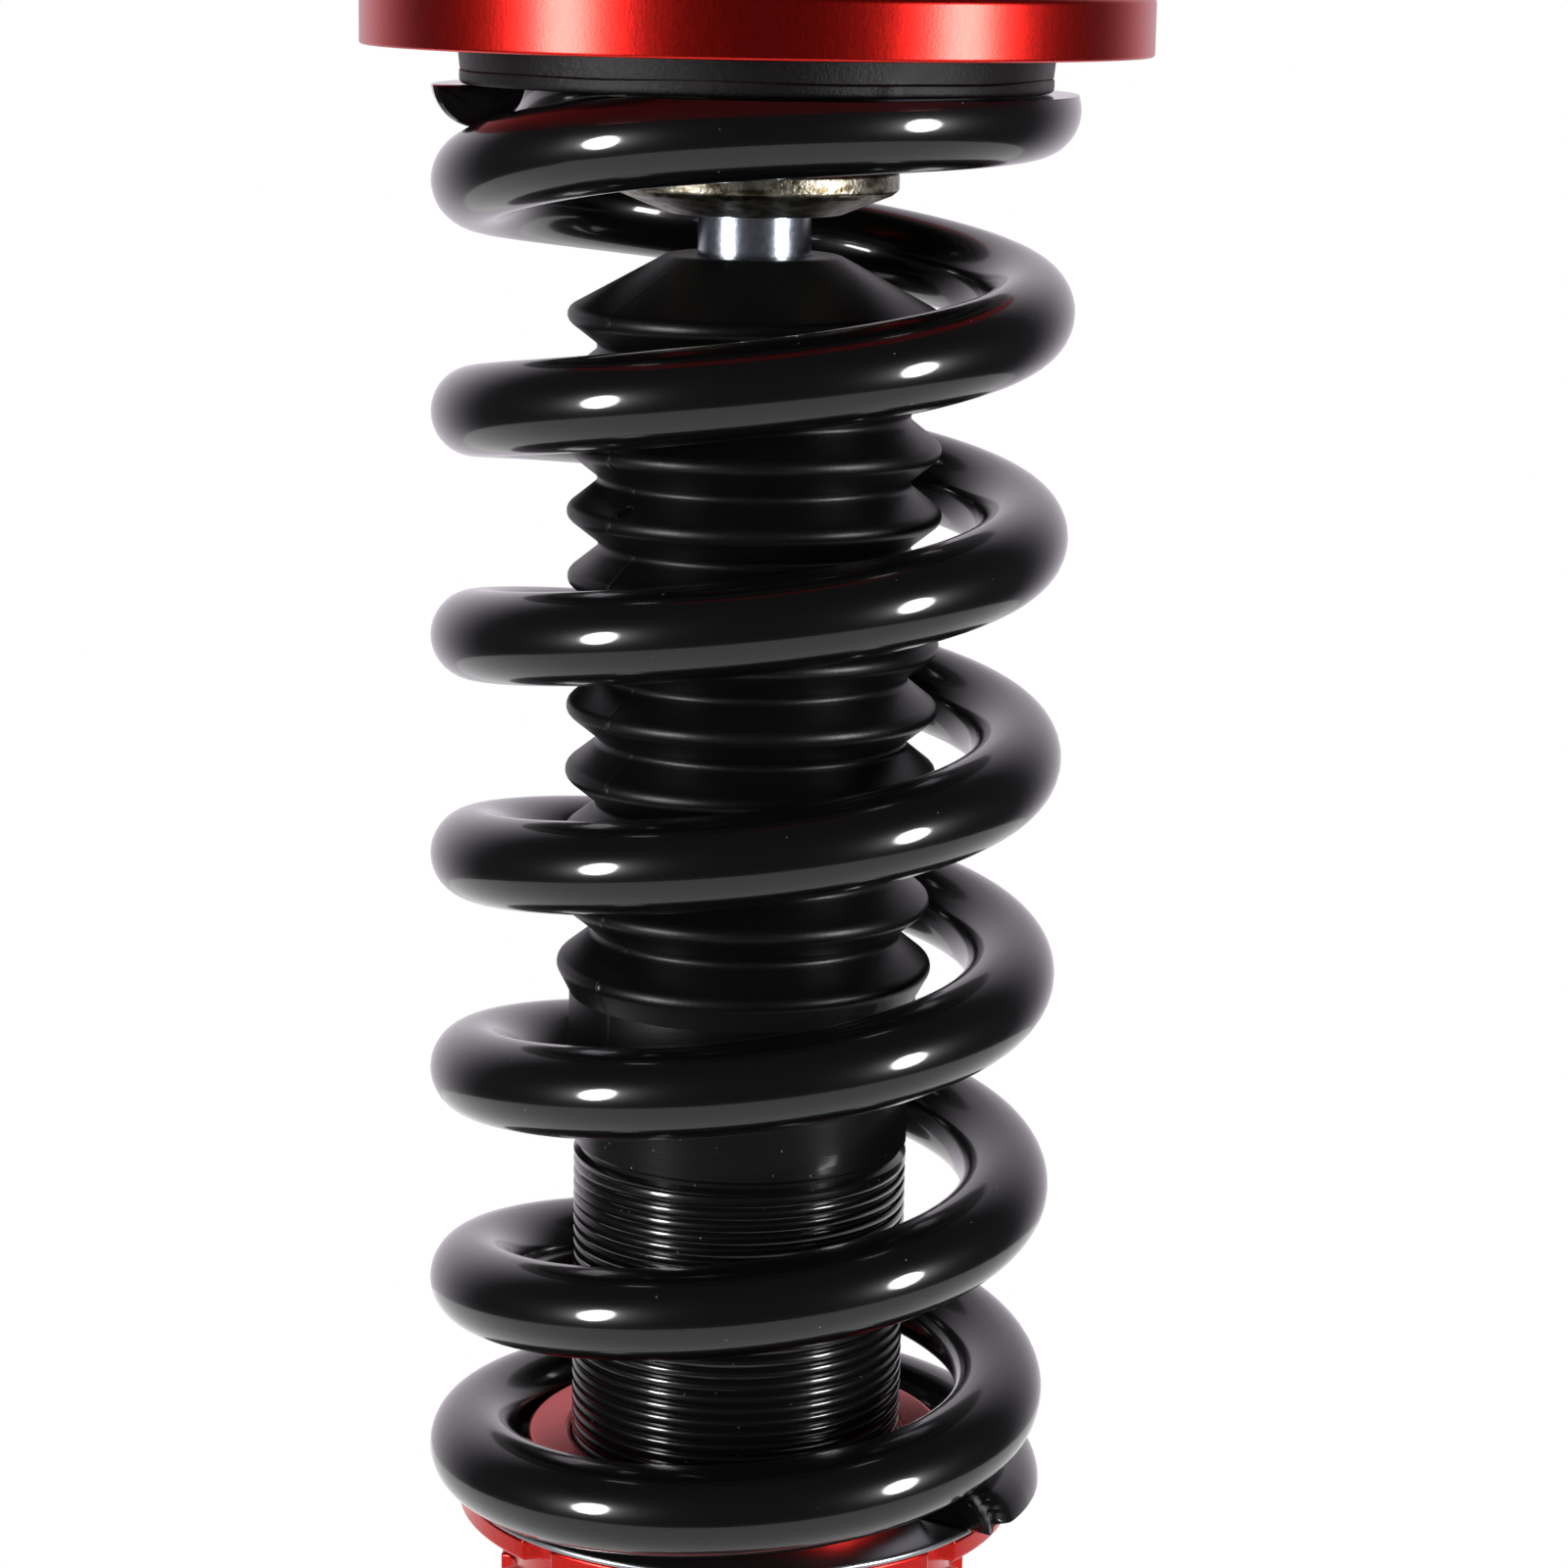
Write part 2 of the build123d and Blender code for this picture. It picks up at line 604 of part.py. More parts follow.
with BuildPart() as adjuster_knob:
    turned(
        (0, KNOB_BOTTOM),
        (KNOB_R - FINE_EDGE, KNOB_BOTTOM),
        (KNOB_R, KNOB_BOTTOM + FINE_EDGE),
        (KNOB_R, KNOB_TOP - KNOB_CHAMFER),
        (KNOB_R - KNOB_CHAMFER, KNOB_TOP),
        (0, KNOB_TOP),
    )
    with BuildSketch(Plane.XY.offset(KNOB_BOTTOM)):
        with PolarLocations(KNOB_R + FINE_EDGE, FLUTE_COUNT):
            Circle(FLUTE_R)
    extrude(amount=FLUTE_TOP - KNOB_BOTTOM, mode=Mode.SUBTRACT)
    ring(NEEDLE_R + FIT, 0, KNOB_BOTTOM, NEEDLE_TOP, mode=Mode.SUBTRACT)
    with BuildSketch(Plane.YZ.offset(NEEDLE_R)):
        with Locations((0, GRUB_HEIGHT)):
            Circle(GRUB_R + FIT)
    extrude(amount=KNOB_R, mode=Mode.SUBTRACT)
adjuster_knob.part.label = "adjuster_knob"
export_step(adjuster_knob.part, "parts/adjuster_knob.step")

with BuildPart() as knob_grub_screw:
    with BuildSketch(Plane.YZ.offset(NEEDLE_R + 2 * FIT)):
        with Locations((0, GRUB_HEIGHT)):
            Circle(GRUB_R)
    extrude(amount=GRUB_LENGTH)
knob_grub_screw.part.label = "knob_grub_screw"
export_step(knob_grub_screw.part, "parts/knob_grub_screw.step")

# ---- upper mount ----------------------------------------------------------------------------

STUD_BOTTOM = PLATE_BOTTOM + 1
HUB_MOUTH_GAP = 1.2
HUB_FLOOR_GAP = 0.4

with BuildPart() as top_plate:
    turned(
        (PLATE_BORE_R, PLATE_BOTTOM),
        (PLATE_R - FINE_EDGE, PLATE_BOTTOM),
        (PLATE_R, PLATE_BOTTOM + FINE_EDGE),
        (PLATE_R, PLATE_TOP - EDGE),
        (PLATE_R - EDGE, PLATE_TOP),
        (HUB_R + EDGE, PLATE_TOP),
        (HUB_R, PLATE_TOP + EDGE),
        (HUB_R, PLATE_TOP + HUB_HEIGHT - EDGE),
        (HUB_R - EDGE, PLATE_TOP + HUB_HEIGHT),
        (BUSH_R + HUB_MOUTH_GAP, PLATE_TOP + HUB_HEIGHT),
        (BUSH_R + HUB_FLOOR_GAP, PLATE_TOP),
        (PLATE_BORE_R, PLATE_TOP),
    )
    with BuildSketch(Plane.XY.offset(STUD_BOTTOM)):
        with PolarLocations(STUD_CIRCLE_R, STUD_COUNT, start_angle=90):
            Circle(STUD_SHANK_R + FIT)
    extrude(amount=PLATE_THICK, mode=Mode.SUBTRACT)
top_plate.part.label = "top_plate"
export_step(top_plate.part, "parts/top_plate.step")

with BuildPart() as mount_studs:
    with BuildSketch(Plane.XY.offset(STUD_BOTTOM)):
        with PolarLocations(STUD_CIRCLE_R, STUD_COUNT, start_angle=90):
            Circle(STUD_SHANK_R)
    extrude(amount=PLATE_TOP - STUD_BOTTOM)
    with BuildSketch(Plane.XY.offset(PLATE_TOP)):
        with PolarLocations(STUD_CIRCLE_R, STUD_COUNT, start_angle=90):
            Circle(STUD_R)
    extrude(amount=STUD_TOP - PLATE_TOP)
    chamfer(mount_studs.edges().group_by(Axis.Z)[-1], EDGE)
mount_studs.part.label = "mount_studs"
export_step(mount_studs.part, "parts/mount_studs.step")

with BuildPart() as lower_bush:
    turned(
        (CRUSH_R + FIT, BUSH_LOW),
        (CUP_WASHER_FLOOR_R - 1, BUSH_LOW),
        (BUSH_R, CUP_WASHER_BOTTOM + BUSH_CONE_RISE),
        (BUSH_R, PLATE_BOTTOM),
        (PLATE_BORE_R - 2 * FIT, PLATE_BOTTOM),
        (PLATE_BORE_R - 2 * FIT, PLATE_BOTTOM + PLATE_THICK / 2),
        (CRUSH_R + FIT, PLATE_BOTTOM + PLATE_THICK / 2),
    )
lower_bush.part.label = "lower_bush"
export_step(lower_bush.part, "parts/lower_bush.step")

with BuildPart() as upper_bush:
    turned(
        (CRUSH_R + FIT, PLATE_BOTTOM + PLATE_THICK / 2),
        (PLATE_BORE_R - 2 * FIT, PLATE_BOTTOM + PLATE_THICK / 2),
        (PLATE_BORE_R - 2 * FIT, PLATE_TOP),
        (BUSH_R, PLATE_TOP),
        (BUSH_R, UPPER_WASHER_TOP - BUSH_CONE_RISE),
        (CUP_WASHER_FLOOR_R - 1, UPPER_BUSH_TOP),
        (CRUSH_R + FIT, UPPER_BUSH_TOP),
    )
upper_bush.part.label = "upper_bush"
export_step(upper_bush.part, "parts/upper_bush.step")

with BuildPart() as spring_isolator:
    ring(ISOLATOR_R, ISOLATOR_BORE_R, COIL_TOP + SLIP, PLATE_BOTTOM)
spring_isolator.part.label = "spring_isolator"
export_step(spring_isolator.part, "parts/spring_isolator.step")

# ---- spring, seats and boot -----------------------------------------------------------------

coil_steps = round(COIL_TURNS * COIL_POINTS_PER_TURN)
coil_points = []
for step in range(coil_steps + 1):
    turns = COIL_TURNS * step / coil_steps
    angle = radians(COIL_START) + tau * turns
    coil_points.append((COIL_R * cos(angle), COIL_R * sin(angle), coil_height(turns)))

with BuildPart() as coil_spring:
    with BuildLine() as coil_path:
        Spline(*coil_points)
    with BuildSketch(Plane(origin=coil_path.line @ 0, z_dir=coil_path.line % 0)):
        Circle(WIRE_R)
    sweep(path=coil_path.line, is_frenet=False)
    ring(COIL_R + 2 * WIRE_R, 0, SEAT - 2 * WIRE_R, SEAT, mode=Mode.SUBTRACT)
    ring(COIL_R + 2 * WIRE_R, 0, COIL_TOP, COIL_TOP + 2 * WIRE_R, mode=Mode.SUBTRACT)
coil_spring.part.label = "coil_spring"
export_step(coil_spring.part, "parts/coil_spring.step")

with BuildPart() as thrust_washer:
    ring(WASHER_R, PERCH_BOSS_R + WASHER_GAP, WASHER_BOTTOM, SEAT)
thrust_washer.part.label = "thrust_washer"
export_step(thrust_washer.part, "parts/thrust_washer.step")

with BuildPart() as spring_perch:
    turned(
        (THREAD_BORE_R, PERCH_HUB_BOTTOM),
        (PERCH_HUB_R - EDGE, PERCH_HUB_BOTTOM),
        (PERCH_HUB_R, PERCH_HUB_BOTTOM + EDGE),
        (PERCH_HUB_R, PERCH_TOP),
        (PERCH_BOSS_R, PERCH_TOP),
        (PERCH_BOSS_R, SEAT + PERCH_BOSS_HEIGHT - EDGE),
        (PERCH_BOSS_R - EDGE, SEAT + PERCH_BOSS_HEIGHT),
        (THREAD_BORE_R, SEAT + PERCH_BOSS_HEIGHT),
    )
spring_perch.part.label = "spring_perch"
export_step(spring_perch.part, "parts/spring_perch.step")

# the flange is one piece of aluminium with the perch, kept apart so that its collision is simple
with BuildPart() as perch_flange:
    turned(
        (PERCH_HUB_R, FLANGE_BOTTOM),
        (FLANGE_R - FINE_EDGE, FLANGE_BOTTOM),
        (FLANGE_R, FLANGE_BOTTOM + FINE_EDGE),
        (FLANGE_R, PERCH_TOP),
        (PERCH_HUB_R, PERCH_TOP),
    )
    spanner_notches(FLANGE_R, FLANGE_BOTTOM, PERCH_TOP)
perch_flange.part.label = "perch_flange"
export_step(perch_flange.part, "parts/perch_flange.step")

with BuildPart() as perch_lock_ring:
    lock_ring(PERCH_HUB_BOTTOM - SLIP - RING_THICK)
perch_lock_ring.part.label = "perch_lock_ring"
export_step(perch_lock_ring.part, "parts/perch_lock_ring.step")

rim_pitch = (BOOT_LAST_RIM - BOOT_FIRST_RIM) / (BOOT_RIMS - 1)
boot_outside = [
    (BODY_R + 2 * FIT, BOOT_SKIRT_BOTTOM),
    (BOOT_SKIRT_R, BOOT_SKIRT_BOTTOM),
    (BOOT_SKIRT_R, BOOT_SKIRT_TOP),
]
boot_inside = [(BODY_R + 2 * FIT, BOOT_SKIRT_TOP)]
for rim in range(BOOT_RIMS):
    height = BOOT_FIRST_RIM + rim * rim_pitch
    boot_outside.append((BOOT_RIM_R, height))
    boot_inside.append((BOOT_RIM_R - BOOT_WALL, height))
    if rim < BOOT_RIMS - 1:
        boot_outside.append((BOOT_VALLEY_R, height + rim_pitch / 2))
        boot_inside.append((BOOT_VALLEY_R - BOOT_WALL, height + rim_pitch / 2))
boot_outside += [(BOOT_TOP_R, BOOT_TOP), (SPACER_R + 2 * FIT, BOOT_TOP)]
boot_inside += [(BOOT_TOP_R - 0.5, BOOT_TOP - BOOT_LID), (SPACER_R + 2 * FIT, BOOT_TOP - BOOT_LID)]

with BuildPart() as dust_boot:
    turned(*boot_outside, *reversed(boot_inside))
dust_boot.part.label = "dust_boot"
export_step(dust_boot.part, "parts/dust_boot.step")
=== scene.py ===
"""Coilover: fine shapes and finishes of a height-adjustable damper, built around its packed frame.

The numpy functions work in millimetres and return grids of points; meshes are written in metres.
"""

import json
from math import cos, pi, radians, sin, tau

import bmesh
import bpy
import numpy as np
from bpy.props import FloatProperty, FloatVectorProperty, IntProperty, PointerProperty
from mathutils import Matrix, Vector


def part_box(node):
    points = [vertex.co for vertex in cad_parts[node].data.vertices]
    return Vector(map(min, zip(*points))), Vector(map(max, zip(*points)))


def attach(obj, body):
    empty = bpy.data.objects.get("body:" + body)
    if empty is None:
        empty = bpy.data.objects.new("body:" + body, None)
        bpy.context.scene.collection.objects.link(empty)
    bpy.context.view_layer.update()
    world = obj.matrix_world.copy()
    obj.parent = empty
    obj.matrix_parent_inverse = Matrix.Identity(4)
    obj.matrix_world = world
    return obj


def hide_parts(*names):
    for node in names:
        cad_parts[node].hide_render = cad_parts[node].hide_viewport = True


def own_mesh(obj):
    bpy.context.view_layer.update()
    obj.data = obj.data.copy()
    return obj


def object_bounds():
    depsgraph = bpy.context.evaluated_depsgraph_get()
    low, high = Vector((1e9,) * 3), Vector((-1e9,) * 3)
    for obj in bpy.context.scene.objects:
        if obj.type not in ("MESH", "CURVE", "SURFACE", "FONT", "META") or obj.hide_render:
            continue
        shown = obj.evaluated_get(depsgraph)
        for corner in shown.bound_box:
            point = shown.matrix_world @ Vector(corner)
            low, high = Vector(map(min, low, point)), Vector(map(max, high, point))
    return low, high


bl_info = {
    "name": "Coilover",
    "version": (1, 0, 0),
    "blender": (4, 5, 0),
    "location": "3D View > Sidebar > Coilover",
    "description": "Builds a height-adjustable damper with its spring, perch, boot and mounts",
    "category": "Add Mesh",
}

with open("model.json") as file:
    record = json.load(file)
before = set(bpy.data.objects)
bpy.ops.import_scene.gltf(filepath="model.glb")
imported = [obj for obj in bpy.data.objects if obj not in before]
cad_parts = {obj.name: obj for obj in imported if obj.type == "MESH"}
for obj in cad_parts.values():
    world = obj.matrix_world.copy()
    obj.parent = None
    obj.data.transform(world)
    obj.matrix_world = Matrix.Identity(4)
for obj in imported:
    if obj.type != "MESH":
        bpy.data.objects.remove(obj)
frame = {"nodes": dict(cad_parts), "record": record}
CAD_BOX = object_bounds()
# body and material slot of each CAD node
BODIES = {name: body for body, names in frame["record"]["behaviour"]["bodies"].items() for name in names}
SLOTS = {part["node"]: part["material_slot"] for part in frame["record"]["subparts"]}

MM = 0.001
SEED = 7
SHARP = 32.0  # degrees between faces at which an edge stays crisp
WELD_GAP = 2e-6  # metres; points closer than this become one
FIT = 0.05  # millimetres of clearance in a bore
THREAD_DEPTH = 0.5  # of the studs and the rod's end, in millimetres
THREAD_SHARP = 40.0  # crisp edges of a threaded piece and of the bracket's weld, in degrees
RINGS = (0.02, 0.02, 1)  # squeezes a pattern across the axis, so that only rings round it are left


# ---- numbers ----


def linear(code):
    """Linear red, green and blue of an sRGB hex code: the sRGB curve undone."""
    s = np.array([int(code[i : i + 2], 16) for i in (0, 2, 4)]) / 255
    return np.where(s <= 0.04045, s / 12.92, ((s + 0.055) / 1.055) ** 2.4).tolist()


def span(node):
    """Outer radius, bottom and top of a CAD node, in millimetres."""
    low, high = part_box(node)
    return high.x / MM, low.z / MM, high.z / MM


def step(x):
    """Smooth step: 0 below 0, 1 above 1, 3x^2 - 2x^3 between."""
    x = np.clip(x, 0, 1)
    return x * x * (3 - 2 * x)


def unit(v):
    """Vectors along the last axis, each divided by its length."""
    return v / np.maximum(np.linalg.norm(v, axis=-1, keepdims=True), 1e-12)


# ---- outlines and plans ----


def soften(corners, radii, steps=5, guard=0.12):
    """Closed outline with each corner swapped for an arc of its own radius.

    The arc leaves its two sides radius / tan(half the corner's angle) from the corner, and its points
    are the two end radii mixed by the sines of the angle already turned and still to turn. One more
    point, a guard's length before and after each arc, keeps the flats shaded flat."""
    p = np.asarray(corners, float)
    a, b = np.roll(p, 1, 0) - p, np.roll(p, -1, 0) - p
    shorter = np.minimum(np.linalg.norm(a, axis=1), np.linalg.norm(b, axis=1))
    a, b = unit(a), unit(b)
    half = np.arccos(np.clip((a * b).sum(1), -1, 1)) / 2
    reach = np.minimum(np.broadcast_to(radii, len(p)) / np.tan(half), 0.49 * shorter)
    centre = p + unit(a + b) * (reach / np.cos(half))[:, None]
    turn = np.maximum(pi - 2 * half, 1e-6)
    s = np.linspace(0, 1, steps)[None, :, None]
    turn = turn[:, None, None]
    first = (p + a * reach[:, None] - centre)[:, None]
    last = (p + b * reach[:, None] - centre)[:, None]
    arc = (np.sin((1 - s) * turn) * first + np.sin(s * turn) * last) / np.sin(turn)
    spare = np.clip(0.49 * shorter - reach, 0, guard) * (np.broadcast_to(radii, len(p)) > 0)
    before, after = p + a * (reach + spare)[:, None], p + b * (reach + spare)[:, None]
    return np.concatenate([before[:, None], centre[:, None] + arc, after[:, None]], 1).reshape(-1, 2)


def distinct(points):
    """A closed outline without repeated neighbours."""
    gap = np.linalg.norm(points - np.roll(points, 1, 0), axis=1)
    return points[gap > 1e-4]


def inset(plan, by):
    """Plan moved inwards: each point goes along the mitre of the normals of its two sides."""
    back, ahead = unit(plan - np.roll(plan, 1, 0)), unit(np.roll(plan, -1, 0) - plan)
    n1, n2 = np.stack([-back[:, 1], back[:, 0]], -1), np.stack([-ahead[:, 1], ahead[:, 0]], -1)
    mitre = (n1 + n2) / np.maximum(1 + (n1 * n2).sum(1, keepdims=True), 0.3)
    return plan + mitre * by


def notched_plan(rim, depth, radius, count, first, corner=0.6):
    """Circle with half-round notches: one notch and the rim after it, turned round count times.

    A notch is an arc whose middle is c from the axis, and it meets the rim where
    c^2 + radius^2 - 2 c radius cos(half its angle) = rim^2."""
    c, pitch = rim - depth + radius, tau / count
    half = np.arccos((c * c + radius * radius - rim * rim) / (2 * c * radius))
    notch = c - radius * np.exp(-1j * np.linspace(-half, half, 9))
    edge = np.angle(notch[-1])
    one = np.concatenate([notch, rim * np.exp(1j * np.linspace(edge, pitch - edge, 13)[1:-1])])
    round_here = np.zeros(len(one))
    round_here[[0, 8]] = corner
    whole = (one * np.exp(1j * (first + pitch * np.arange(count)))[:, None]).ravel()
    corners = np.stack([whole.real, whole.imag], -1)
    return distinct(soften(corners, np.tile(round_here, count), 5, 0))


def fluted_plan(rim, depth, count, points=10):
    """Circle with round flutes: the radius dips by depth times the sixth power of a cosine."""
    a = np.arange(count * points) * tau / (count * points)
    r = rim - depth * np.cos(a * count / 2) ** 6
    return np.stack([r * np.cos(a), r * np.sin(a)], -1)


# ---- grids ----


def circle(count):
    """Evenly spaced angles round a circle."""
    return np.arange(count) * tau / count


def polar(r, a, z):
    """Points from radius, angle and height."""
    return np.stack(np.broadcast_arrays(r * np.cos(a), r * np.sin(a), z), -1)


def turned(outline, angles):
    """Turned shape: every (radius, height) point of the outline carried round Z."""
    r, z = np.asarray(outline, float).T[..., None]
    return polar(r, angles, z)


def plan_turned(outline, plan, rim, follow=1.6):
    """Turned shape with a plan for its rim: outline points within follow of the rim's radius lie on the
    plan, moved in by how far they are from the rim, and the others lie on circles."""
    angles = np.arctan2(plan[:, 1], plan[:, 0])
    grid = turned(outline, angles)
    for row in np.flatnonzero(outline[:, 0] > rim - follow):
        grid[row, :, :2] = inset(plan, rim - outline[row, 0])
    return grid


def across(grid):
    """A shape turned about Z laid along Y."""
    return np.stack([grid[..., 0], grid[..., 2], -grid[..., 1]], -1)


def thread_grid(radius, depth, pitch, bottom, top, columns):
    """Right-hand external thread: rows follow the helix, so height = row's start + pitch x angle / 2 pi.

    A groove, a third of the pitch wide, follows the square of a sine, and so does the crest between
    grooves, a dome three tenths of the depth high. The depth fades to nothing over one pitch at both
    ends, where the rows are cut off level."""
    within = np.array([0, 0.2, 0.34, 0.42, 0.5, 0.58, 0.66, 0.8])
    near = np.clip(1 - np.abs(within - 0.5) / 0.17, 0, 1)
    groove = 0.7 * np.sin(near * pi / 2) ** 2 + 0.3 * np.sin(within * pi) ** 2
    turns = int(np.ceil((top - bottom) / pitch)) + 1
    start = (np.arange(-1, turns)[:, None] + within).ravel() * pitch + bottom
    cut = np.tile(groove, turns + 1)
    angles = np.linspace(0, tau, columns + 1)
    z = np.clip(start[:, None] + pitch * angles / tau, bottom, top)
    fade = step((z - bottom) / pitch) * step((top - z) / pitch)
    return polar(radius - depth * cut[:, None] * fade, angles, z)


# ---- pieces ----


def quads(shape, round_rows, round_columns):
    """Corner numbers of every square of a grid, which may close up along rows, columns or both."""
    rows, columns = shape[:2]
    i = np.arange(rows if round_rows else rows - 1)[:, None]
    j = np.arange(columns if round_columns else columns - 1)[None]
    i2, j2 = (i + 1) % rows, (j + 1) % columns
    corners = [i * columns + j, i * columns + j2, i2 * columns + j2, i2 * columns + j]
    return np.stack(corners, -1).reshape(-1, 4)


def mesh_of(name, grids):
    """Mesh of one or more grids in millimetres, welded, facing outwards.

    Each grid is (points, closes along rows, closes along columns), or points that close both ways."""
    points, faces, count = [], [], 0
    for grid in grids:
        grid, rows, columns = grid if isinstance(grid, tuple) else (grid, True, True)
        points.append(grid.reshape(-1, 3) * MM)
        faces.append(quads(grid.shape, rows, columns) + count)
        count += len(points[-1])
    points, faces = np.concatenate(points), np.concatenate(faces)
    mesh = bpy.data.meshes.new(name)
    mesh.vertices.add(len(points))
    mesh.vertices.foreach_set("co", points.ravel())
    mesh.loops.add(faces.size)
    mesh.loops.foreach_set("vertex_index", faces.ravel())
    mesh.polygons.add(len(faces))
    mesh.polygons.foreach_set("loop_start", np.arange(0, faces.size, 4))
    mesh.update(calc_edges=True)
    work = bmesh.new()
    work.from_mesh(mesh)
    bmesh.ops.remove_doubles(work, verts=work.verts, dist=WELD_GAP)
    bmesh.ops.dissolve_degenerate(work, edges=work.edges, dist=WELD_GAP / 20)
    bmesh.ops.recalc_face_normals(work, faces=work.faces)
    work.to_mesh(mesh)
    work.free()
    return mesh


def piece(name, grids, *nodes, sharp=SHARP):
    """Finished piece in place of one or more CAD nodes, with the first one's body and slot."""
    body, slot = BODIES[nodes[0]], SLOTS[nodes[0]]
    mesh = mesh_of(name, grids)
    mesh.shade_smooth()
    mesh.set_sharp_from_angle(angle=radians(sharp))
    mesh.materials.append(finish_of(slot))
    made = bpy.data.objects.new(name, mesh)
    bpy.context.scene.collection.objects.link(made)
    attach(made, body)
    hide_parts(*nodes)
    return made


# ---- materials ----


def plug(tree, target, inputs):
    """Fills a node's inputs: each with a value, a socket, or another node's first output."""
    for name, value in inputs.items():
        if isinstance(value, bpy.types.Node):
            value = value.outputs[0]
        if isinstance(value, bpy.types.NodeSocket):
            tree.links.new(value, target.inputs[name])
        else:
            target.inputs[name].default_value = value


def node(tree, kind, inputs=None, **settings):
    """Adds a node with its settings and inputs."""
    new = tree.nodes.new("ShaderNode" + kind)
    for name, value in settings.items():
        setattr(new, name, value)
    plug(tree, new, inputs or {})
    return new


def surface(name, colour, **values):
    """New material: its tree, its shader and the Object coordinates that its patterns read."""
    material = bpy.data.materials.new(name)
    material.use_nodes = True
    tree = material.node_tree
    tree.nodes.clear()
    shader = node(tree, "BsdfPrincipled", {"Base Color": (*colour, 1)})
    for key, value in values.items():
        shader.inputs[key.replace("_", " ").title().replace("Ior", "IOR")].default_value = value
    node(tree, "OutputMaterial", {"Surface": shader})
    return material, tree, shader, node(tree, "TexCoord").outputs["Object"]


def per_mm(size):
    """Scale of a texture whose features are size millimetres across."""
    return 1 / (size * MM)


def limits(value, low, high, to_low=0, to_high=1):
    """Inputs that stretch a value's low..high over to_low..to_high."""
    return {"Value": value, "From Min": low, "From Max": high, "To Min": to_low, "To Max": to_high}


def dress(tree, shader, relief, depth, shine=None, rough=(0, 1), colour=None):
    """Feeds a finish's patterns to its shader: relief, depth millimetres deep, to the normals, shine to
    the roughness between two values, and colour to the base colour."""
    raised = node(tree, "Bump", {"Strength": 1.0, "Distance": depth * MM, "Height": relief})
    plug(tree, shader, {"Normal": raised, "Coat Normal": raised})
    if shine:
        plug(tree, shader, {"Roughness": node(tree, "MapRange", limits(shine, 0, 1, *rough))})
    if colour:
        plug(tree, shader, {"Base Color": colour})


def dusted(tree, place, colour, spacing, small, large, pale):
    """Pale dust on a colour: a spot in each cell of a Voronoi pattern, spacing millimetres apart, that
    fades from small to large, in shares of the spacing. Gives the spots and the dusty colour."""
    cells = node(tree, "TexVoronoi", {"Vector": place, "Scale": per_mm(spacing)})
    spots = node(tree, "MapRange", limits(cells, small, large, 1, 0))
    inputs = {"Fac": spots, "Color1": (*colour, 1), "Color2": (pale, pale, pale, 1)}
    return spots, node(tree, "MixRGB", inputs)


def grained(name, code, size, depth, detail=None, **values):
    """Material whose one pattern is a grain, size millimetres across and depth millimetres deep: noise,
    or round cells where no detail is given."""
    material, tree, shader, place = surface(name, linear(code), **values)
    inputs = {"Vector": place, "Scale": per_mm(size)} | ({"Detail": detail} if detail else {})
    grain = node(tree, "TexNoise" if detail else "TexVoronoi", inputs)
    dress(tree, shader, grain, depth)
    return material


def turned_metal(name, code, roughness):
    """Turned metal: rings of the lathe tool, drawn 0.6 mm apart so that they show."""
    material, tree, shader, place = surface(name, linear(code), metallic=1.0, roughness=roughness)
    flat = node(tree, "Mapping", {"Vector": place, "Scale": RINGS})
    rings = node(tree, "TexNoise", {"Vector": flat, "Scale": per_mm(0.6), "Detail": 2})
    dress(tree, shader, rings, 0.02)
    return material


def gloss_powder_coat():
    """Black polyester powder coat, baked on steel wire: deep wet gloss with a faint orange peel and dust."""
    black = bpy.context.scene.coilover_finish.spring_black
    material, tree, shader, place = surface(
        "gloss_powder_coat", black, roughness=0.3, ior=1.22,
        coat_weight=1.0, coat_roughness=0.085, coat_ior=1.43,
    )
    peel = node(tree, "TexNoise", {"Vector": place, "Scale": per_mm(6), "Detail": 2})
    _, dusty = dusted(tree, place, black, 5, 0.02, 0.035, 0.1)
    dress(tree, shader, peel, 0.012, colour=dusty)
    return material


def turned_black_coat():
    """Black electro-coat on turned steel: thin and shiny, so the lathe's fine rings show through it."""
    black = bpy.context.scene.coilover_finish.body_black
    material, tree, shader, place = surface(
        "turned_black_coat", black, roughness=0.26, ior=1.3, coat_weight=0.8, coat_roughness=0.09,
    )
    # tool rings, drawn 0.45 mm apart so that they show
    flat = node(tree, "Mapping", {"Vector": place, "Scale": RINGS})
    rings = node(tree, "TexNoise", {"Vector": flat, "Scale": per_mm(0.45), "Detail": 3})
    dust, dusty = dusted(tree, place, black, 2.2, 0.03, 0.07, 0.12)
    both = node(tree, "Math", {0: rings, 1: dust}, operation="ADD")
    dress(tree, shader, both, 0.018, colour=dusty)
    return material


def red_anodised_aluminium():
    """Dyed red anodising on blasted and brushed aluminium: metal under a clear red film, finely grained."""
    red = bpy.context.scene.coilover_finish.anodised_red
    material, tree, shader, place = surface(
        "red_anodised_aluminium", red, metallic=1.0, roughness=0.28, coat_weight=0.25, coat_roughness=0.22,
    )
    # hairlines 0.35 mm wide that run up the rim
    stretched = node(tree, "Mapping", {"Vector": place, "Scale": (1, 1, 0.1)})
    hair = node(tree, "TexNoise", {"Vector": stretched, "Scale": per_mm(0.35), "Detail": 4})
    speckle = node(tree, "TexNoise", {"Vector": place, "Scale": per_mm(0.4), "Detail": 3})
    tone = node(tree, "MapRange", limits(speckle, 0.3, 0.7, 0.8, 1.15))
    inputs = {"Fac": 1.0, "Color1": (*red, 1), "Color2": tone}
    shade = node(tree, "MixRGB", inputs, blend_type="MULTIPLY")
    dress(tree, shader, speckle, 0.012, hair, (0.24, 0.32), shade)
    return material


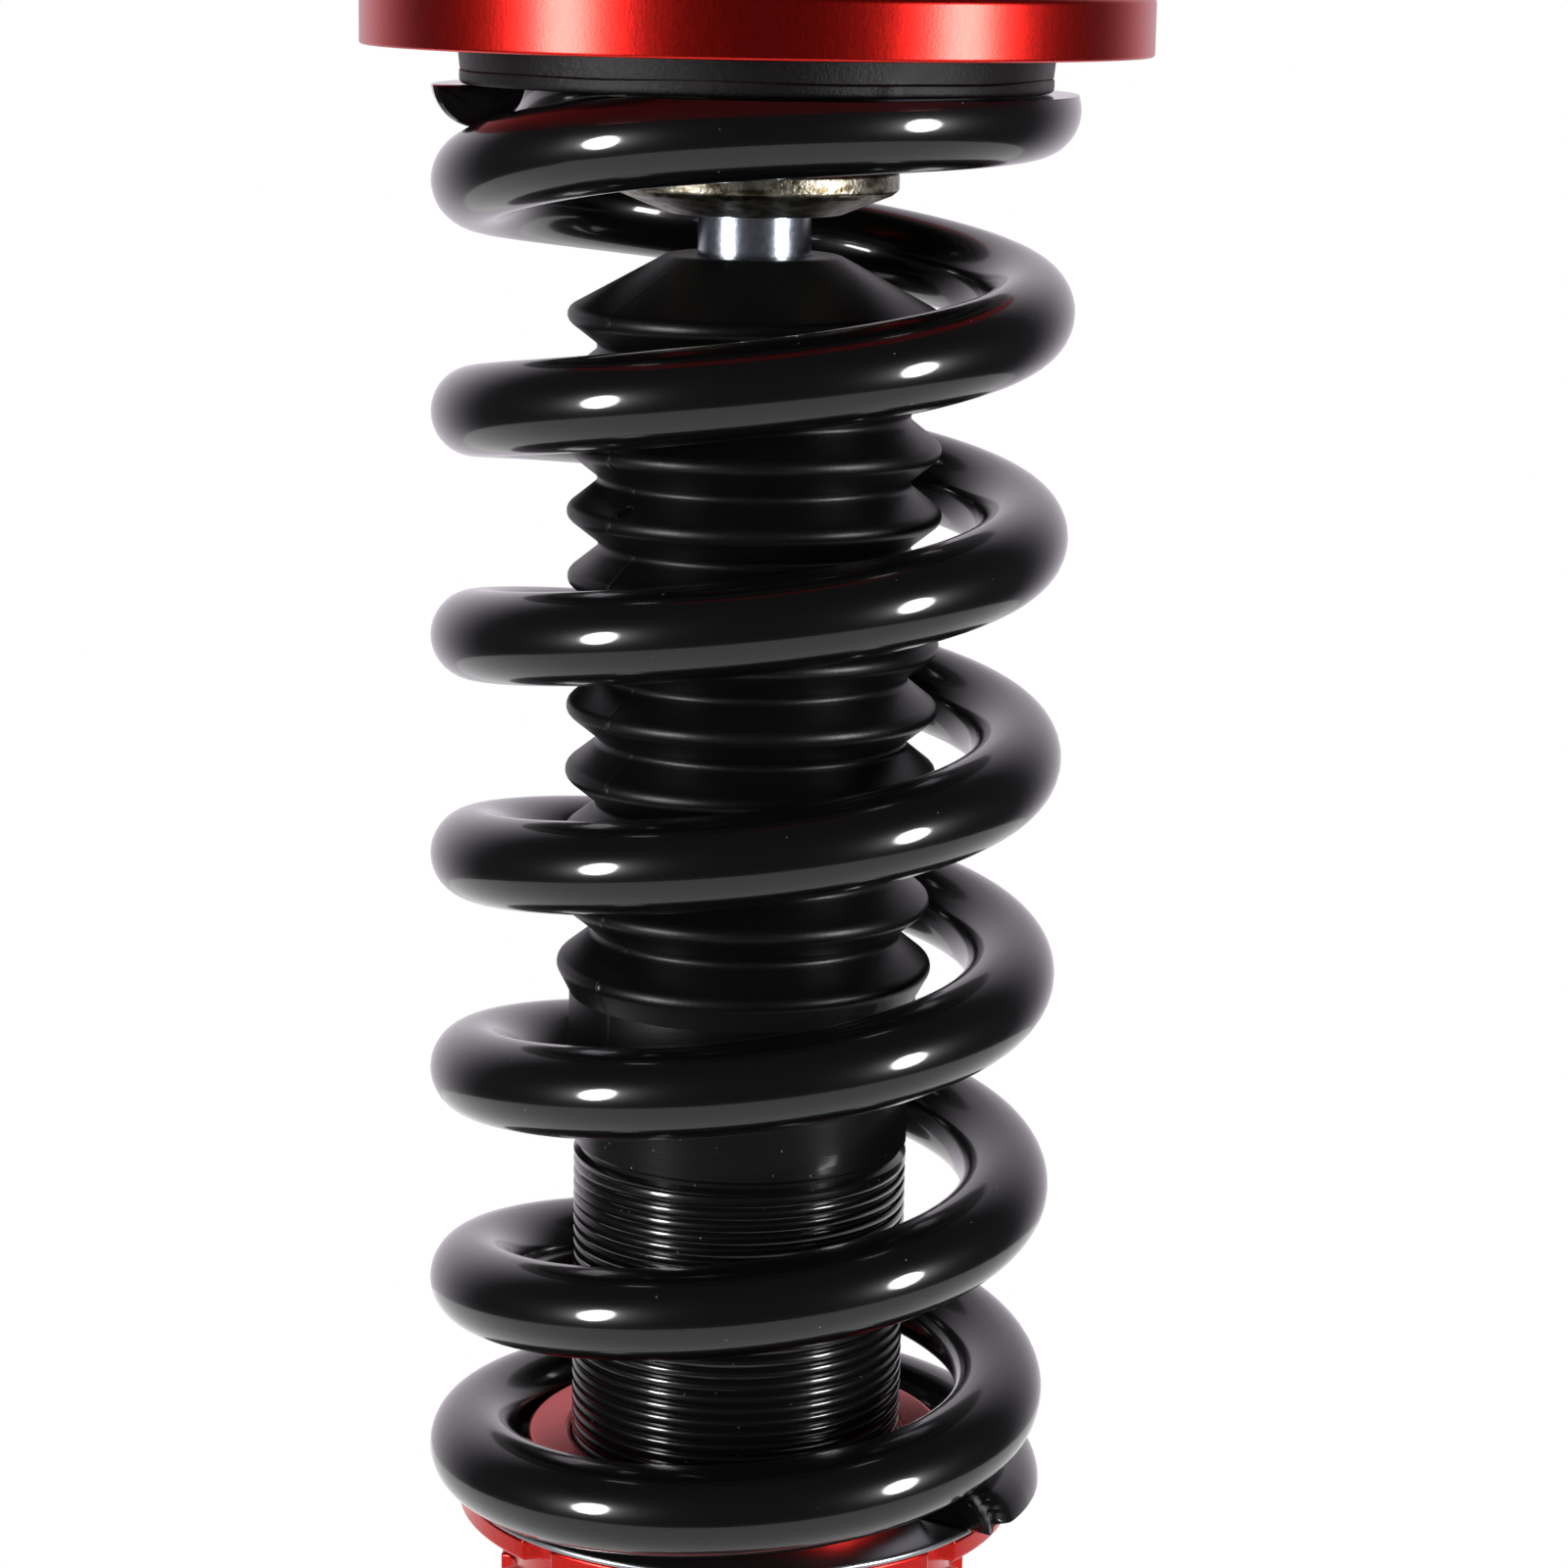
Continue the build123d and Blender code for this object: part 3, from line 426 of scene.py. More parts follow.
def bright_zinc_plate():
    """Blue-passivated zinc on steel: bright and slightly cold, with a cloudy crystal bloom."""
    material, tree, shader, place = surface("bright_zinc_plate", linear("b8bfcc"), metallic=1.0)
    bloom = node(tree, "TexNoise", {"Vector": place, "Scale": per_mm(0.9), "Detail": 6, "Roughness": 0.7})
    dress(tree, shader, bloom, 0.015, bloom, (0.1, 0.34))
    return material


def yellow_zinc_pressing():
    """Yellow-passivated zinc on pressed steel: warm, mottled, and rough where the drawing die scraped it."""
    pale, brown = (*linear("a8a294"), 1), (*linear("4d4433"), 1)
    material, tree, shader, place = surface("yellow_zinc_pressing", pale[:3], metallic=1.0, roughness=0.32)
    flat = node(tree, "Mapping", {"Vector": place, "Scale": (0.5, 0.5, 1)})
    streak = node(tree, "TexNoise", {"Vector": place, "Scale": per_mm(0.6), "Detail": 4})
    cloud = node(tree, "TexNoise", {"Vector": flat, "Scale": per_mm(1.3), "Detail": 4})
    patch = node(tree, "MapRange", limits(cloud, 0.38, 0.62))
    tint = node(tree, "MixRGB", {"Fac": patch, "Color1": pale, "Color2": brown})
    dress(tree, shader, streak, 0.1, colour=tint)
    return material


def moulded_rubber():
    """Black natural rubber, compression moulded: satin, with the fine grain of an eroded mould."""
    black = bpy.context.scene.coilover_finish.rubber_black
    material, tree, shader, place = surface("moulded_rubber", black, ior=1.28)
    grain = node(tree, "TexNoise", {"Vector": place, "Scale": per_mm(0.8), "Detail": 5, "Roughness": 0.75})
    cloud = node(tree, "TexNoise", {"Vector": place, "Scale": per_mm(12), "Detail": 3})
    dress(tree, shader, grain, 0.12, cloud, (0.28, 0.5))
    return material


def blown_boot_rubber():
    """Black thermoplastic rubber, blow moulded: satin-matte with a fine speckle, and a breather hole whose
    dark inside is painted shade.
    """
    black, vent = bpy.context.scene.coilover_finish.boot_black, bpy.context.scene.coilover_boot.vent
    material, tree, shader, place = surface("blown_boot_rubber", black, ior=1.33)
    grain = node(tree, "TexNoise", {"Vector": place, "Scale": per_mm(0.5), "Detail": 4, "Roughness": 0.65})
    cloud = node(tree, "TexNoise", {"Vector": place, "Scale": per_mm(14), "Detail": 3})
    # the hole is about 2.6 mm across and 20 times as deep as the 0.03 mm grain; its inside is painted shade,
    # a pure black spot
    far = node(tree, "VectorMath", {0: place, 1: vent}, operation="DISTANCE")
    hole = node(tree, "MapRange", limits(far.outputs["Value"], 1.1 * MM, 1.4 * MM))
    high = node(tree, "Math", {0: hole, 1: 20, 2: grain}, operation="MULTIPLY_ADD")
    # painted shade: the hole's disc coloured pure black in place of the shade inside it
    dark = node(tree, "MixRGB", {"Fac": hole, "Color1": (0, 0, 0, 1), "Color2": (*black, 1)})
    dress(tree, shader, high, 0.03, cloud, (0.26, 0.48), dark)
    return material


def satin_spring_steel():
    """Tempered spring-steel strip, stamped: grey satin with a fine rolled grain."""
    return grained("satin_spring_steel", "8e9194", 0.4, 0.01, 4, metallic=1.0, roughness=0.3)


def cast_black_paint():
    """Satin black paint on cast and welded steel: the sand-cast skin and the brush's pull show under it."""
    return grained("cast_black_paint", "131314", 2.4, 0.1, 4, roughness=0.36)


def hard_chrome():
    """Hard chrome, ground round: a near mirror."""
    return grained("hard_chrome", "c9ccd0", 0.3, 0.002, 2, metallic=1.0, roughness=0.06)


def plain_turned_steel():
    """Free-cutting steel, turned: grey metal with tool rings."""
    return turned_metal("plain_turned_steel", "9b9d9f", 0.28)


def plain_turned_aluminium():
    """Bare aluminium alloy, turned: pale metal with tool rings."""
    return turned_metal("plain_turned_aluminium", "c7c8ca", 0.26)


def sintered_bronze():
    """Oil-filled bronze, pressed from powder and sintered: warm, dull metal with open pores."""
    return grained("sintered_bronze", "a8834c", 0.5, 0.03, metallic=1.0, roughness=0.4)


def filled_ptfe():
    """PTFE filled with bronze powder, cut from sheet: brown and waxy."""
    return grained("filled_ptfe", "5f4a38", 0.4, 0.01, 3, roughness=0.45)


def polyurethane_foam():
    """Microcellular polyurethane, poured: cream-yellow, with a skin of tiny closed cells."""
    return grained("polyurethane_foam", "d8c48a", 0.8, 0.08, roughness=0.6)


def black_oxide():
    """Black oxide on hardened steel: oiled, nearly black metal."""
    return grained("black_oxide", "3a3a3c", 0.3, 0.01, 3, metallic=1.0, roughness=0.38)


FINISHES = {
    "black_powder_coat": gloss_powder_coat,
    "black_body_coat": turned_black_coat,
    "red_anodised": red_anodised_aluminium,
    "zinc_plate": bright_zinc_plate,
    "zinc_pressing": yellow_zinc_pressing,
    "spring_washer_steel": satin_spring_steel,
    "black_rubber": moulded_rubber,
    "boot_rubber": blown_boot_rubber,
    "polyurethane": polyurethane_foam,
    "hard_chrome": hard_chrome,
    "plain_steel": plain_turned_steel,
    "plain_aluminium": plain_turned_aluminium,
    "bronze_bush": sintered_bronze,
    "bracket_paint": cast_black_paint,
    "ptfe_band": filled_ptfe,
    "screw_black": black_oxide,
}
made_finishes = {}


def finish_of(slot):
    """The material of a record slot, made once."""
    if slot not in made_finishes:
        made_finishes[slot] = FINISHES[slot]()
    return made_finishes[slot]


# ---- sizes and colours ----


def length(name, description, millimetres):
    """A length property, kept in metres."""
    return FloatProperty(
        name=name, description=description, default=millimetres * MM, subtype="DISTANCE", unit="LENGTH"
    )


def plain(name, description, value):
    """A number without a unit."""
    return FloatProperty(name=name, description=description, default=value)


def point(name, description, *metres):
    """A point, in metres."""
    return FloatVectorProperty(
        name=name, description=description, default=metres, subtype="TRANSLATION", unit="LENGTH"
    )


def colour(name, description, code):
    """A colour property from an sRGB hex code."""
    return FloatVectorProperty(
        name=name, description=description, default=linear(code), subtype="COLOR", min=0, max=1
    )


def angle(name, description, value):
    """An angle property from degrees."""
    return FloatProperty(name=name, description=description, default=radians(value), subtype="ANGLE")


class SpringSizes(bpy.types.PropertyGroup):
    """Coil spring"""

    wire_radius: length("Wire radius", "Half the thickness of the wire", 7.0)
    coil_radius: length("Coil radius", "From the axis to the middle of the wire", 42.25)
    low_tip: length("Lower tip", "Height of the wire's middle over the lower ground face", -1.4)
    top_tip: length("Upper tip", "Height of the wire's middle over the upper ground face", 0.8)
    low_pitch: length("Lower pitch", "Rise per turn of the closed end below", 9.3)
    top_pitch: length("Upper pitch", "Rise per turn of the closed end above", 5.75)
    lift: length("Wide turn", "How much wider the last open turn is than the others", 2.73)
    turns: plain("Turns", "Turns from tip to tip", 7.632)
    low_turns: plain("Closed turns below", "Turns before the pitch opens", 0.32)
    low_ramp: plain("Opening", "Turns over which the pitch opens", 1.07)
    top_turns: plain("Closed turns above", "Turns left once the pitch has closed", 0.656)
    top_ramp: plain("Closing", "Turns over which the pitch closes", 0.25)
    lift_start: plain("Wide turn's start", "Turns from the lower tip", 6.5455)
    lift_turns: plain("Wide turn's ramp", "Turns over which the spring widens", 0.263)
    start: angle("Start", "Angle of the lower tip", -38.0)


class BootSizes(bpy.types.PropertyGroup):
    """Dust boot"""

    rim_radius: length("Rim radius", "Radius of the pleats' outer edges", 30.0)
    valley_radius: length("Valley radius", "Radius between the pleats", 23.6)
    wall: length("Wall", "Thickness of the rubber", 1.2)
    skirt_radius: length("Skirt radius", "Outside of the plain collar on the damper", 27.4)
    skirt_height: length("Skirt height", "Length of the plain collar", 14.0)
    first_rim: length("First rim", "Height of the lowest rim above the collar", 4.8)
    top_drop: length("Top drop", "From the flat top down to the last rim", 10.0)
    rims: IntProperty(name="Rims", description="Number of pleats", default=11)
    seam: angle("Seam", "Angle of the mould's parting line", -141.0)
    sag: length("Sag", "How far the flat top has sunk round the sleeve", 0.8)
    lean: length("Lean", "How far the pleats' middle stands to the right", 0.8)
    vent: point("Vent", "Breather hole in a pleat", -0.0193, -0.01865, 0.3905)


class ThreadSizes(bpy.types.PropertyGroup):
    """Damper thread"""

    pitch: length("Pitch", "Height of one turn of the body's thread", 2.0)
    depth: length("Depth", "Depth of the body's thread", 0.45)
    stud_pitch: length("Stud pitch", "Pitch of the studs and the rod's end", 1.25)


class NotchSizes(bpy.types.PropertyGroup):
    """Spanner notches"""

    count: IntProperty(name="Notches", description="Number of notches round each ring", default=8)
    radius: length("Radius", "Radius of a half-round notch", 3.0)
    depth: length("Depth", "How far a notch goes in from the rim", 2.7)
    first: angle("First notch", "Angle of one notch", 0.0)
    ring_radius: length("Ring radius", "Outside of a lock ring", 38.0)
    perch_radius: length("Perch radius", "Outside of the perch's flange", 44.5)


class FinishColours(bpy.types.PropertyGroup):
    """Colours"""

    spring_black: colour("Spring", "Powder coat of the spring", "050506")
    body_black: colour("Body", "Coat of the threaded body", "070707")
    anodised_red: colour("Anodised red", "Dyed aluminium of the plate, perch and rings", "c81b14")
    rubber_black: colour("Rubber", "Isolator and bushes", "080708")
    boot_black: colour("Boot", "Dust boot", "060607")


class StageSettings(bpy.types.PropertyGroup):
    """Light and camera"""

    lamp_watts: plain("Lamp power", "Watts of each soft lamp", 15.0)
    lamp_width: length("Lamp width", "Width of each soft lamp", 300)
    lamp_height: length("Lamp height", "Height of each soft lamp", 520)
    lamp_distance: length("Lamp distance", "From the spring to each lamp", 1200)
    lamp_left: angle("Left lamp", "How far the left lamp stands round from the camera", 56)
    lamp_right: angle("Right lamp", "How far the right lamp stands round from the camera", 57)
    lamp_rise: angle("Lamp rise", "How far each lamp looks down", 4)
    sky: plain("Sky", "Strength of the even light from all round", 0.5)
    lens: plain("Lens", "Focal length in millimetres", 94.77)
    pitch: angle("Pitch", "How far the camera looks down", 11.61)
    yaw: angle("Yaw", "How far the camera looks right", 2.30)
    roll: angle("Roll", "How far the camera leans", 1.03)
    stand: point("Place", "Where the camera stands", -0.01942, -0.6339, 0.4754)
    white: colour("Floor", "Floor and backdrop", "f4f4f4")
    tint: colour("Tint", "Colour of what the object mirrors", "fbf3fd")


# ---- shapes that several operators share ----


def ramp(x):
    """Area under the smooth step: x^3 - x^4 / 2 within 0..1, then x - 1/2."""
    within = np.clip(x, 0, 1)
    return within**3 - within**4 / 2 + np.maximum(x - 1, 0)


def coil_grid(sizes, bottom, top):
    """Wire along the spring's centre line, with ground ends.

    The centre line rises by the closed end's pitch, plus a smooth ramp where the coils open, less one
    where they close, plus a smooth step at the wide turn. A section is a circle square to the
    line, and its points are spread over four arcs, so that the ground faces' edges fall on grid lines.
    What is past a ground face is moved onto it, and both tips shrink to their middles."""
    wire, turns = sizes.wire_radius / MM, sizes.turns
    closed, fine = 0.6 / (tau * sizes.coil_radius / MM), 0.05  # turns in the closed tips and the fine start
    t = np.concatenate(
        [[0, 0], np.linspace(closed, fine, 24, endpoint=False), np.linspace(fine, turns - closed, 612),
         [turns, turns]]
    )
    low_pitch, top_pitch, lift = sizes.low_pitch / MM, sizes.top_pitch / MM, sizes.lift / MM
    closing = sizes.top_turns + sizes.top_ramp / 2
    rise = top - bottom + (sizes.top_tip - sizes.low_tip) / MM - lift
    extra = (rise - low_pitch * turns + (low_pitch - top_pitch) * closing) / (
        turns - sizes.low_turns - sizes.low_ramp / 2 - closing
    )
    opened = sizes.low_ramp * ramp((t - sizes.low_turns) / sizes.low_ramp)
    shut = sizes.top_ramp * ramp((t - turns + sizes.top_turns) / sizes.top_ramp + 1)
    z = bottom + sizes.low_tip / MM + low_pitch * t + extra * opened
    z += lift * step((t - sizes.lift_start) / sizes.lift_turns) - (extra + low_pitch - top_pitch) * shut
    a = sizes.start + tau * t
    out = np.stack([np.cos(a), np.sin(a), 0 * a], -1)
    line = out * sizes.coil_radius / MM
    line[:, 2] = z
    slope = np.gradient(z[1:-1], t[1:-1]) / (tau * sizes.coil_radius / MM)
    slope = np.concatenate([slope[:1], slope, slope[-1:]])
    along = unit(np.stack([-np.sin(a), np.cos(a), slope], -1))
    up = np.cross(out, along)
    least = radians(6)  # half the narrowest ground face
    low = np.maximum(np.arccos(np.clip((z - bottom) / wire / up[:, 2], -1, 1)), least)
    high = np.maximum(np.arccos(np.clip((top - z) / wire / up[:, 2], -1, 1)), least)
    ends = np.stack([-pi / 2 - low, -pi / 2 + low, pi / 2 - high, pi / 2 + high, 3 * pi / 2 - low], -1)
    arcs = []
    for k, pieces_here in enumerate((8, 18, 8, 18)):
        s = np.arange(pieces_here) / pieces_here
        arcs.append(ends[:, k, None] * (1 - s) + ends[:, k + 1, None] * s)
    turn = np.concatenate(arcs, 1)[..., None]
    points = line[:, None] + wire * (np.cos(turn) * out[:, None] + np.sin(turn) * up[:, None])
    points[..., 2] = np.clip(points[..., 2], bottom, top)
    shrink = np.ones((len(t), 1, 1))
    shrink[[0, -1]], shrink[[1, -2]] = 0, 0.9
    middle = points.mean(1, keepdims=True)
    return middle + (points - middle) * shrink


def torn_edge(points, bottom, washer_radius):
    """Pinch and burr where the wire was cropped.

    The outer side is pressed in by a bell curve of the distance from the tip, with seeded creases along
    the wire. Below the tip, outside the washer, the ground edge hangs down and fades along the wire,
    with seeded teeth."""
    hang, fade, pinch, pinch_at, pinch_width = 1.1, 9, 0.2, 3.4, 1.7
    burr_rows, pinch_rows = 54, 80  # rows of the first turn that may change
    draw = np.random.default_rng(SEED)
    reach = np.linalg.norm(points[..., :2], axis=-1)
    from_tip = np.linalg.norm(points - points[:1, :1], axis=-1)
    near = step(1 - from_tip / fade) * (reach > washer_radius + 0.4) * (points[..., 2] < bottom + 0.01)
    near[burr_rows:] = 0
    points[..., 2] -= hang * near * draw.uniform(0.3, 1.0, near.shape)
    middle = points.mean(1, keepdims=True)
    outer = step((reach - np.hypot(middle[..., 0], middle[..., 1])) / 7 + 0.25)
    crease = 1 + 0.35 * draw.uniform(-1, 1, points.shape[1])
    tip = np.linalg.norm(middle - middle[:1], axis=-1)
    press = pinch * np.exp(-(((tip - pinch_at) / pinch_width) ** 2)) * outer * crease
    press[pinch_rows:] = 0
    return points + (middle - points) * press[..., None]


def band(inner, outer, low, high):
    """Outline corners of a plain ring."""
    return [(inner, low), (outer, low), (outer, high), (inner, high)]


def bellows_outline(sizes, bottom, top, sleeve_radius):
    """Closed outline of the pleated part, from the collar up the outside and back down the inside."""
    rim, valley, wall = sizes.rim_radius / MM, sizes.valley_radius / MM, sizes.wall / MM
    first, last = bottom + sizes.first_rim / MM, top - sizes.top_drop / MM
    pitch = (last - first) / (sizes.rims - 1)
    zig_r = np.tile([rim, valley], sizes.rims)[:-1]
    zig_z = first + pitch / 2 * np.arange(2 * sizes.rims - 1)
    zig = np.stack([zig_r, zig_z], -1)
    skirt, hole, top = sizes.skirt_radius / MM, sleeve_radius + 0.1, top - sizes.sag / MM
    lid = 1.5  # thickness of the flat top
    outer = np.vstack([[(skirt, bottom)], zig, [(13.2, top)], [(hole, top)]])
    inner = np.vstack([[(skirt - wall, bottom)], zig - (wall, 0), [(12.4, top - lid)], [(hole, top - lid)]])
    bends = np.tile([1.7, 1.0], sizes.rims)[:-1]
    outside, inside = np.concatenate([[0], bends, [3, 0.4]]), np.concatenate([[0], bends, [2, 0.4]])
    return soften(np.vstack([outer, inner[::-1]]), np.concatenate([outside, inside[::-1]]), 6)


def boot_angles(seam):
    """Angles round the boot, closer together within 12 degrees of the seam and its vent."""
    fine = radians(12)
    near = np.linspace(seam - fine, seam + fine, 72, endpoint=False)
    return np.concatenate([near, np.linspace(seam + fine, seam - fine + tau, 150, endpoint=False)])


def uneven(grid, seam, height):
    """Blow-moulded unevenness: slow waves round and up the boot, and the mould's two parting lines as
    ridges height high, shaped as bell curves and twice as high on the rims."""
    draw = np.random.default_rng(SEED + 1)
    a, z = np.arctan2(grid[..., 1], grid[..., 0]), grid[..., 2]
    r = np.hypot(grid[..., 0], grid[..., 1])
    swell = sum(
        0.05 * np.sin(k * a + draw.uniform(0, tau) + z * draw.uniform(0.02, 0.2)) for k in (1, 2, 3, 5)
    )
    off = np.abs(np.angle(np.exp(2j * (a - seam)))) / 2
    ridge_width, rims_from, calm_within = 0.35, 28.6, 12
    ridge = height * np.exp(-((off * r / ridge_width) ** 2)) * (1 + step(r - rims_from))
    new = (r + (swell + ridge) * step((r - calm_within) / 6)) / np.maximum(r, 1e-6)
    grid[..., :2] *= new[..., None]
    return grid


def lock_ring(name, node_name):
    """Threaded ring with softened edges and spanner notches."""
    _, bottom, top = span(node_name)
    cuts = bpy.context.scene.coilover_notches
    rim, bore = cuts.ring_radius / MM, span("threaded_body")[0] + FIT
    plan = notched_plan(rim, cuts.depth / MM, cuts.radius / MM, cuts.count, cuts.first)
    outline = soften(band(bore, rim, bottom, top), [1.0, 0.6, 0.6, 1.0])
    piece(name, [plan_turned(outline, plan, rim)], node_name)


def ring_piece(name, node_name, corners, radii, count=128, steps=5, laid=False):
    """Plain turned piece from outline corners and their radii."""
    grid = turned(soften(corners, radii, steps), circle(count))
    piece(name, [across(grid) if laid else grid], node_name)


def threaded_piece(name, node_name, thread, columns, rest, shifts=((0, 0, 0),)):
    """Piece with an outside thread (radius, depth, pitch, bottom, top) and the rest of its outline
    turned, made once at each shift."""
    cut, rest = thread_grid(*thread, columns), turned(rest, circle(columns))
    grids = [grid for shift in shifts for grid in ((cut + shift, False, False), (rest + shift, False, True))]
    piece(name, grids, node_name, sharp=THREAD_SHARP)


# ---- operators ----


class COILOVER_OT_spring(bpy.types.Operator):
    """Coil spring and the washer that it turns on"""

    bl_idname = "coilover.add_spring"
    bl_label = "Spring"

    def execute(self, context):
        sizes = context.scene.coilover_spring
        _, bottom, top = span("coil_spring")
        washer, washer_low, washer_top = span("thrust_washer")
        points = torn_edge(coil_grid(sizes, bottom, top), bottom, washer)
        coil = piece("spring_coil", [(points, False, True)], "coil_spring")
        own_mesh(coil)
        bore = context.scene.coilover_notches.perch_radius / MM - 10.4  # clear of the perch's boss
        outline = band(bore, washer, washer_low, washer_top)
        ring_piece("spring_washer", "thrust_washer", outline, [0.25, 0.25, 0.5, 0.25], 192, 4)
        return {"FINISHED"}


class COILOVER_OT_boot(bpy.types.Operator):
    """Dust boot: a plain collar on the damper and the pleats above it"""

    bl_idname = "coilover.add_boot"
    bl_label = "Dust Boot"

    def execute(self, context):
        sizes = context.scene.coilover_boot
        _, low, top = span("dust_boot")
        bottom = low + sizes.skirt_height / MM
        angles, ridge = boot_angles(sizes.seam), 0.1
        outline = bellows_outline(sizes, bottom, top, span("spacer_sleeve")[0])
        pleats = uneven(turned(outline, angles), sizes.seam, ridge)
        pleats[..., 0] += sizes.lean / MM * np.sin(pi * (pleats[..., 2] - bottom) / (top - bottom))
        bellows = piece("boot_bellows", [pleats], "dust_boot", sharp=60)
        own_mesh(bellows)
        skirt = band(span("threaded_body")[0] + 2 * FIT, sizes.skirt_radius / MM, low, bottom)
        collar = uneven(turned(soften(skirt, [0.2, 0.5, 0, 0]), angles), sizes.seam, ridge)
        piece("boot_collar", [collar], "dust_boot")
        return {"FINISHED"}


class COILOVER_OT_body(bpy.types.Operator):
    """Damper tube with its outside thread"""

    bl_idname = "coilover.add_body"
    bl_label = "Damper Body"

    def execute(self, context):
        sizes = context.scene.coilover_thread
        radius, bottom, top = span("threaded_body")
        plain_band, wall = 28, 4.5
        thread_low, thread_top, bore = bottom + 2, top - plain_band, radius - wall
        groove, groove_depth = thread_top + 1, 0.9  # the thread's run-out, below the plain band
        thread = (radius, sizes.depth / MM, sizes.pitch / MM, thread_low, thread_top)
        corners = [
            (radius, thread_low), (radius, bottom + 1.2), (radius - 1.2, bottom), (bore, bottom),
            (bore, top), (radius - 0.6, top), (radius, top - 0.6), (radius, groove + 1),
            (radius - groove_depth, groove + 0.3), (radius - groove_depth, groove - 0.3),
            (radius, thread_top),
        ]
        threaded_piece("body_tube", "threaded_body", thread, 96, corners)
        return {"FINISHED"}


class COILOVER_OT_perch(bpy.types.Operator):
    """Spring perch with its notched flange, and the ring that locks it"""

    bl_idname = "coilover.add_perch"
    bl_label = "Perch"

    def execute(self, context):
        cuts = context.scene.coilover_notches
        rim = cuts.perch_radius / MM
        hub, bottom, top = span("spring_perch")
        bore, boss = span("threaded_body")[0] + FIT, hub - 1.7
        _, flange_low, flange_top = span("perch_flange")
        corners = [
            (bore, bottom), (hub, bottom), (hub, flange_low), (rim, flange_low), (rim, flange_top),
            (boss, flange_top), (boss, top), (bore, top),
        ]
        outline = soften(corners, [1.0, 0.8, 0.4, 0.5, 0.45, 0.3, 0.8, 1.0], 4)
        plan = notched_plan(rim, cuts.depth / MM, cuts.radius / MM, cuts.count, cuts.first)
        seat = plan_turned(outline, plan, rim)
        piece("perch_seat", [seat], "spring_perch", "perch_flange")
        lock_ring("perch_locknut", "perch_lock_ring")
        return {"FINISHED"}


class COILOVER_OT_bracket(bpy.types.Operator):
    """Lower bracket: threaded cup, welded eye, its rubber bush and its lock ring"""

    bl_idname = "coilover.add_bracket"
    bl_label = "Lower Bracket"

    def execute(self, context):
        cup, cup_low, cup_top = span("bracket_cup")
        thread, floor = span("threaded_body")[0] + FIT, cup_low + 6  # the cup's floor is 6 mm thick
        ring_piece(
            "bracket_socket", "bracket_cup",
            [(0, cup_low), (cup, cup_low), (cup, cup_top), (thread, cup_top), (thread, floor), (0, floor)],
            [0, 2.5, 1.2, 0.8, 1, 0],
        )
        eye, width = -span("bracket_eye")[1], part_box("bush_shell")[1].y / MM
        shell, rubber, sleeve = (span(name)[0] for name in ("bush_shell", "bush_rubber", "bush_sleeve"))
        ring = soften(band(shell + FIT, eye, -width, width), [0.6, 2, 2, 0.6])
        columns = circle(96)
        foot = [across(turned(ring, columns)), (self.neck(eye, width, cup_low, cup, columns), False, True),
                self.weld(cup_low, cup - 1.2)]
        piece("bracket_foot", foot, "bracket_eye", sharp=THREAD_SHARP)
        ring_piece("eye_shell", "bush_shell", band(rubber + FIT, shell, -width, width), 0.3, laid=True)
        bulge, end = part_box("bush_rubber")[1].y / MM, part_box("bush_sleeve")[1].y / MM
        side = np.array(
            [(sleeve + FIT, bulge - 1), (sleeve + 2, bulge), (rubber - 2.5, bulge), (rubber, bulge - 1.6)]
        )
        both_sides, rounds = np.vstack([side * (1, -1), side[::-1]]), [0.3, 1, 1.5, 0.5]
        ring_piece("eye_rubber", "bush_rubber", both_sides, rounds + rounds[::-1], laid=True)
        tube = band(sleeve - 2.9, sleeve, -end, end)
        ring_piece("eye_tube", "bush_sleeve", tube, [0.5, 0.6, 0.6, 0.5], laid=True)
        lock_ring("bracket_locknut", "bracket_lock_ring")
        return {"FINISHED"}

    def neck(self, eye, width, top, cup, angles):
        """Neck between the eye and the cup: a squarish plan, a power-5 oval, that turns into a circle.

        It starts inside the eye's wall, where height is the root of wall radius squared less x squared."""
        rows, start = 12, 18
        oval = (np.abs(np.cos(angles) / (eye - 2)) ** 5 + np.abs(np.sin(angles) / (width - 2)) ** 5) ** -0.2
        rise = np.linspace(0, 1, rows)[:, None]
        wall = eye - 1.5
        r = oval * (1 - step(rise)) + (cup - 2.4) * step(rise)
        low = np.sqrt(np.maximum(wall**2 - (oval * np.cos(angles)) ** 2, 1))
        z = start + (top + 0.5 - start) * rise + 0 * angles
        r = np.vstack([0 * oval, oval, r, 0 * oval])
        z = np.vstack([low * 0 + wall, np.minimum(low, start - 0.5), z, z[-1:]])
        return polar(r, angles, z)

    def weld(self, height, radius):
        """Fillet weld: a ring of round section with ripples, 90 to the turn, each swelling then dropping."""
        a, turn, bead = circle(720), circle(14)[:, None], 2.0
        ripple = 1 + 0.1 * np.abs(np.sin(45 * a)) + 0.04 * np.sin(7 * a + 1)
        r = radius + bead * ripple * np.cos(turn)
        return polar(r, a, height + 0.95 * bead * ripple * np.sin(turn))


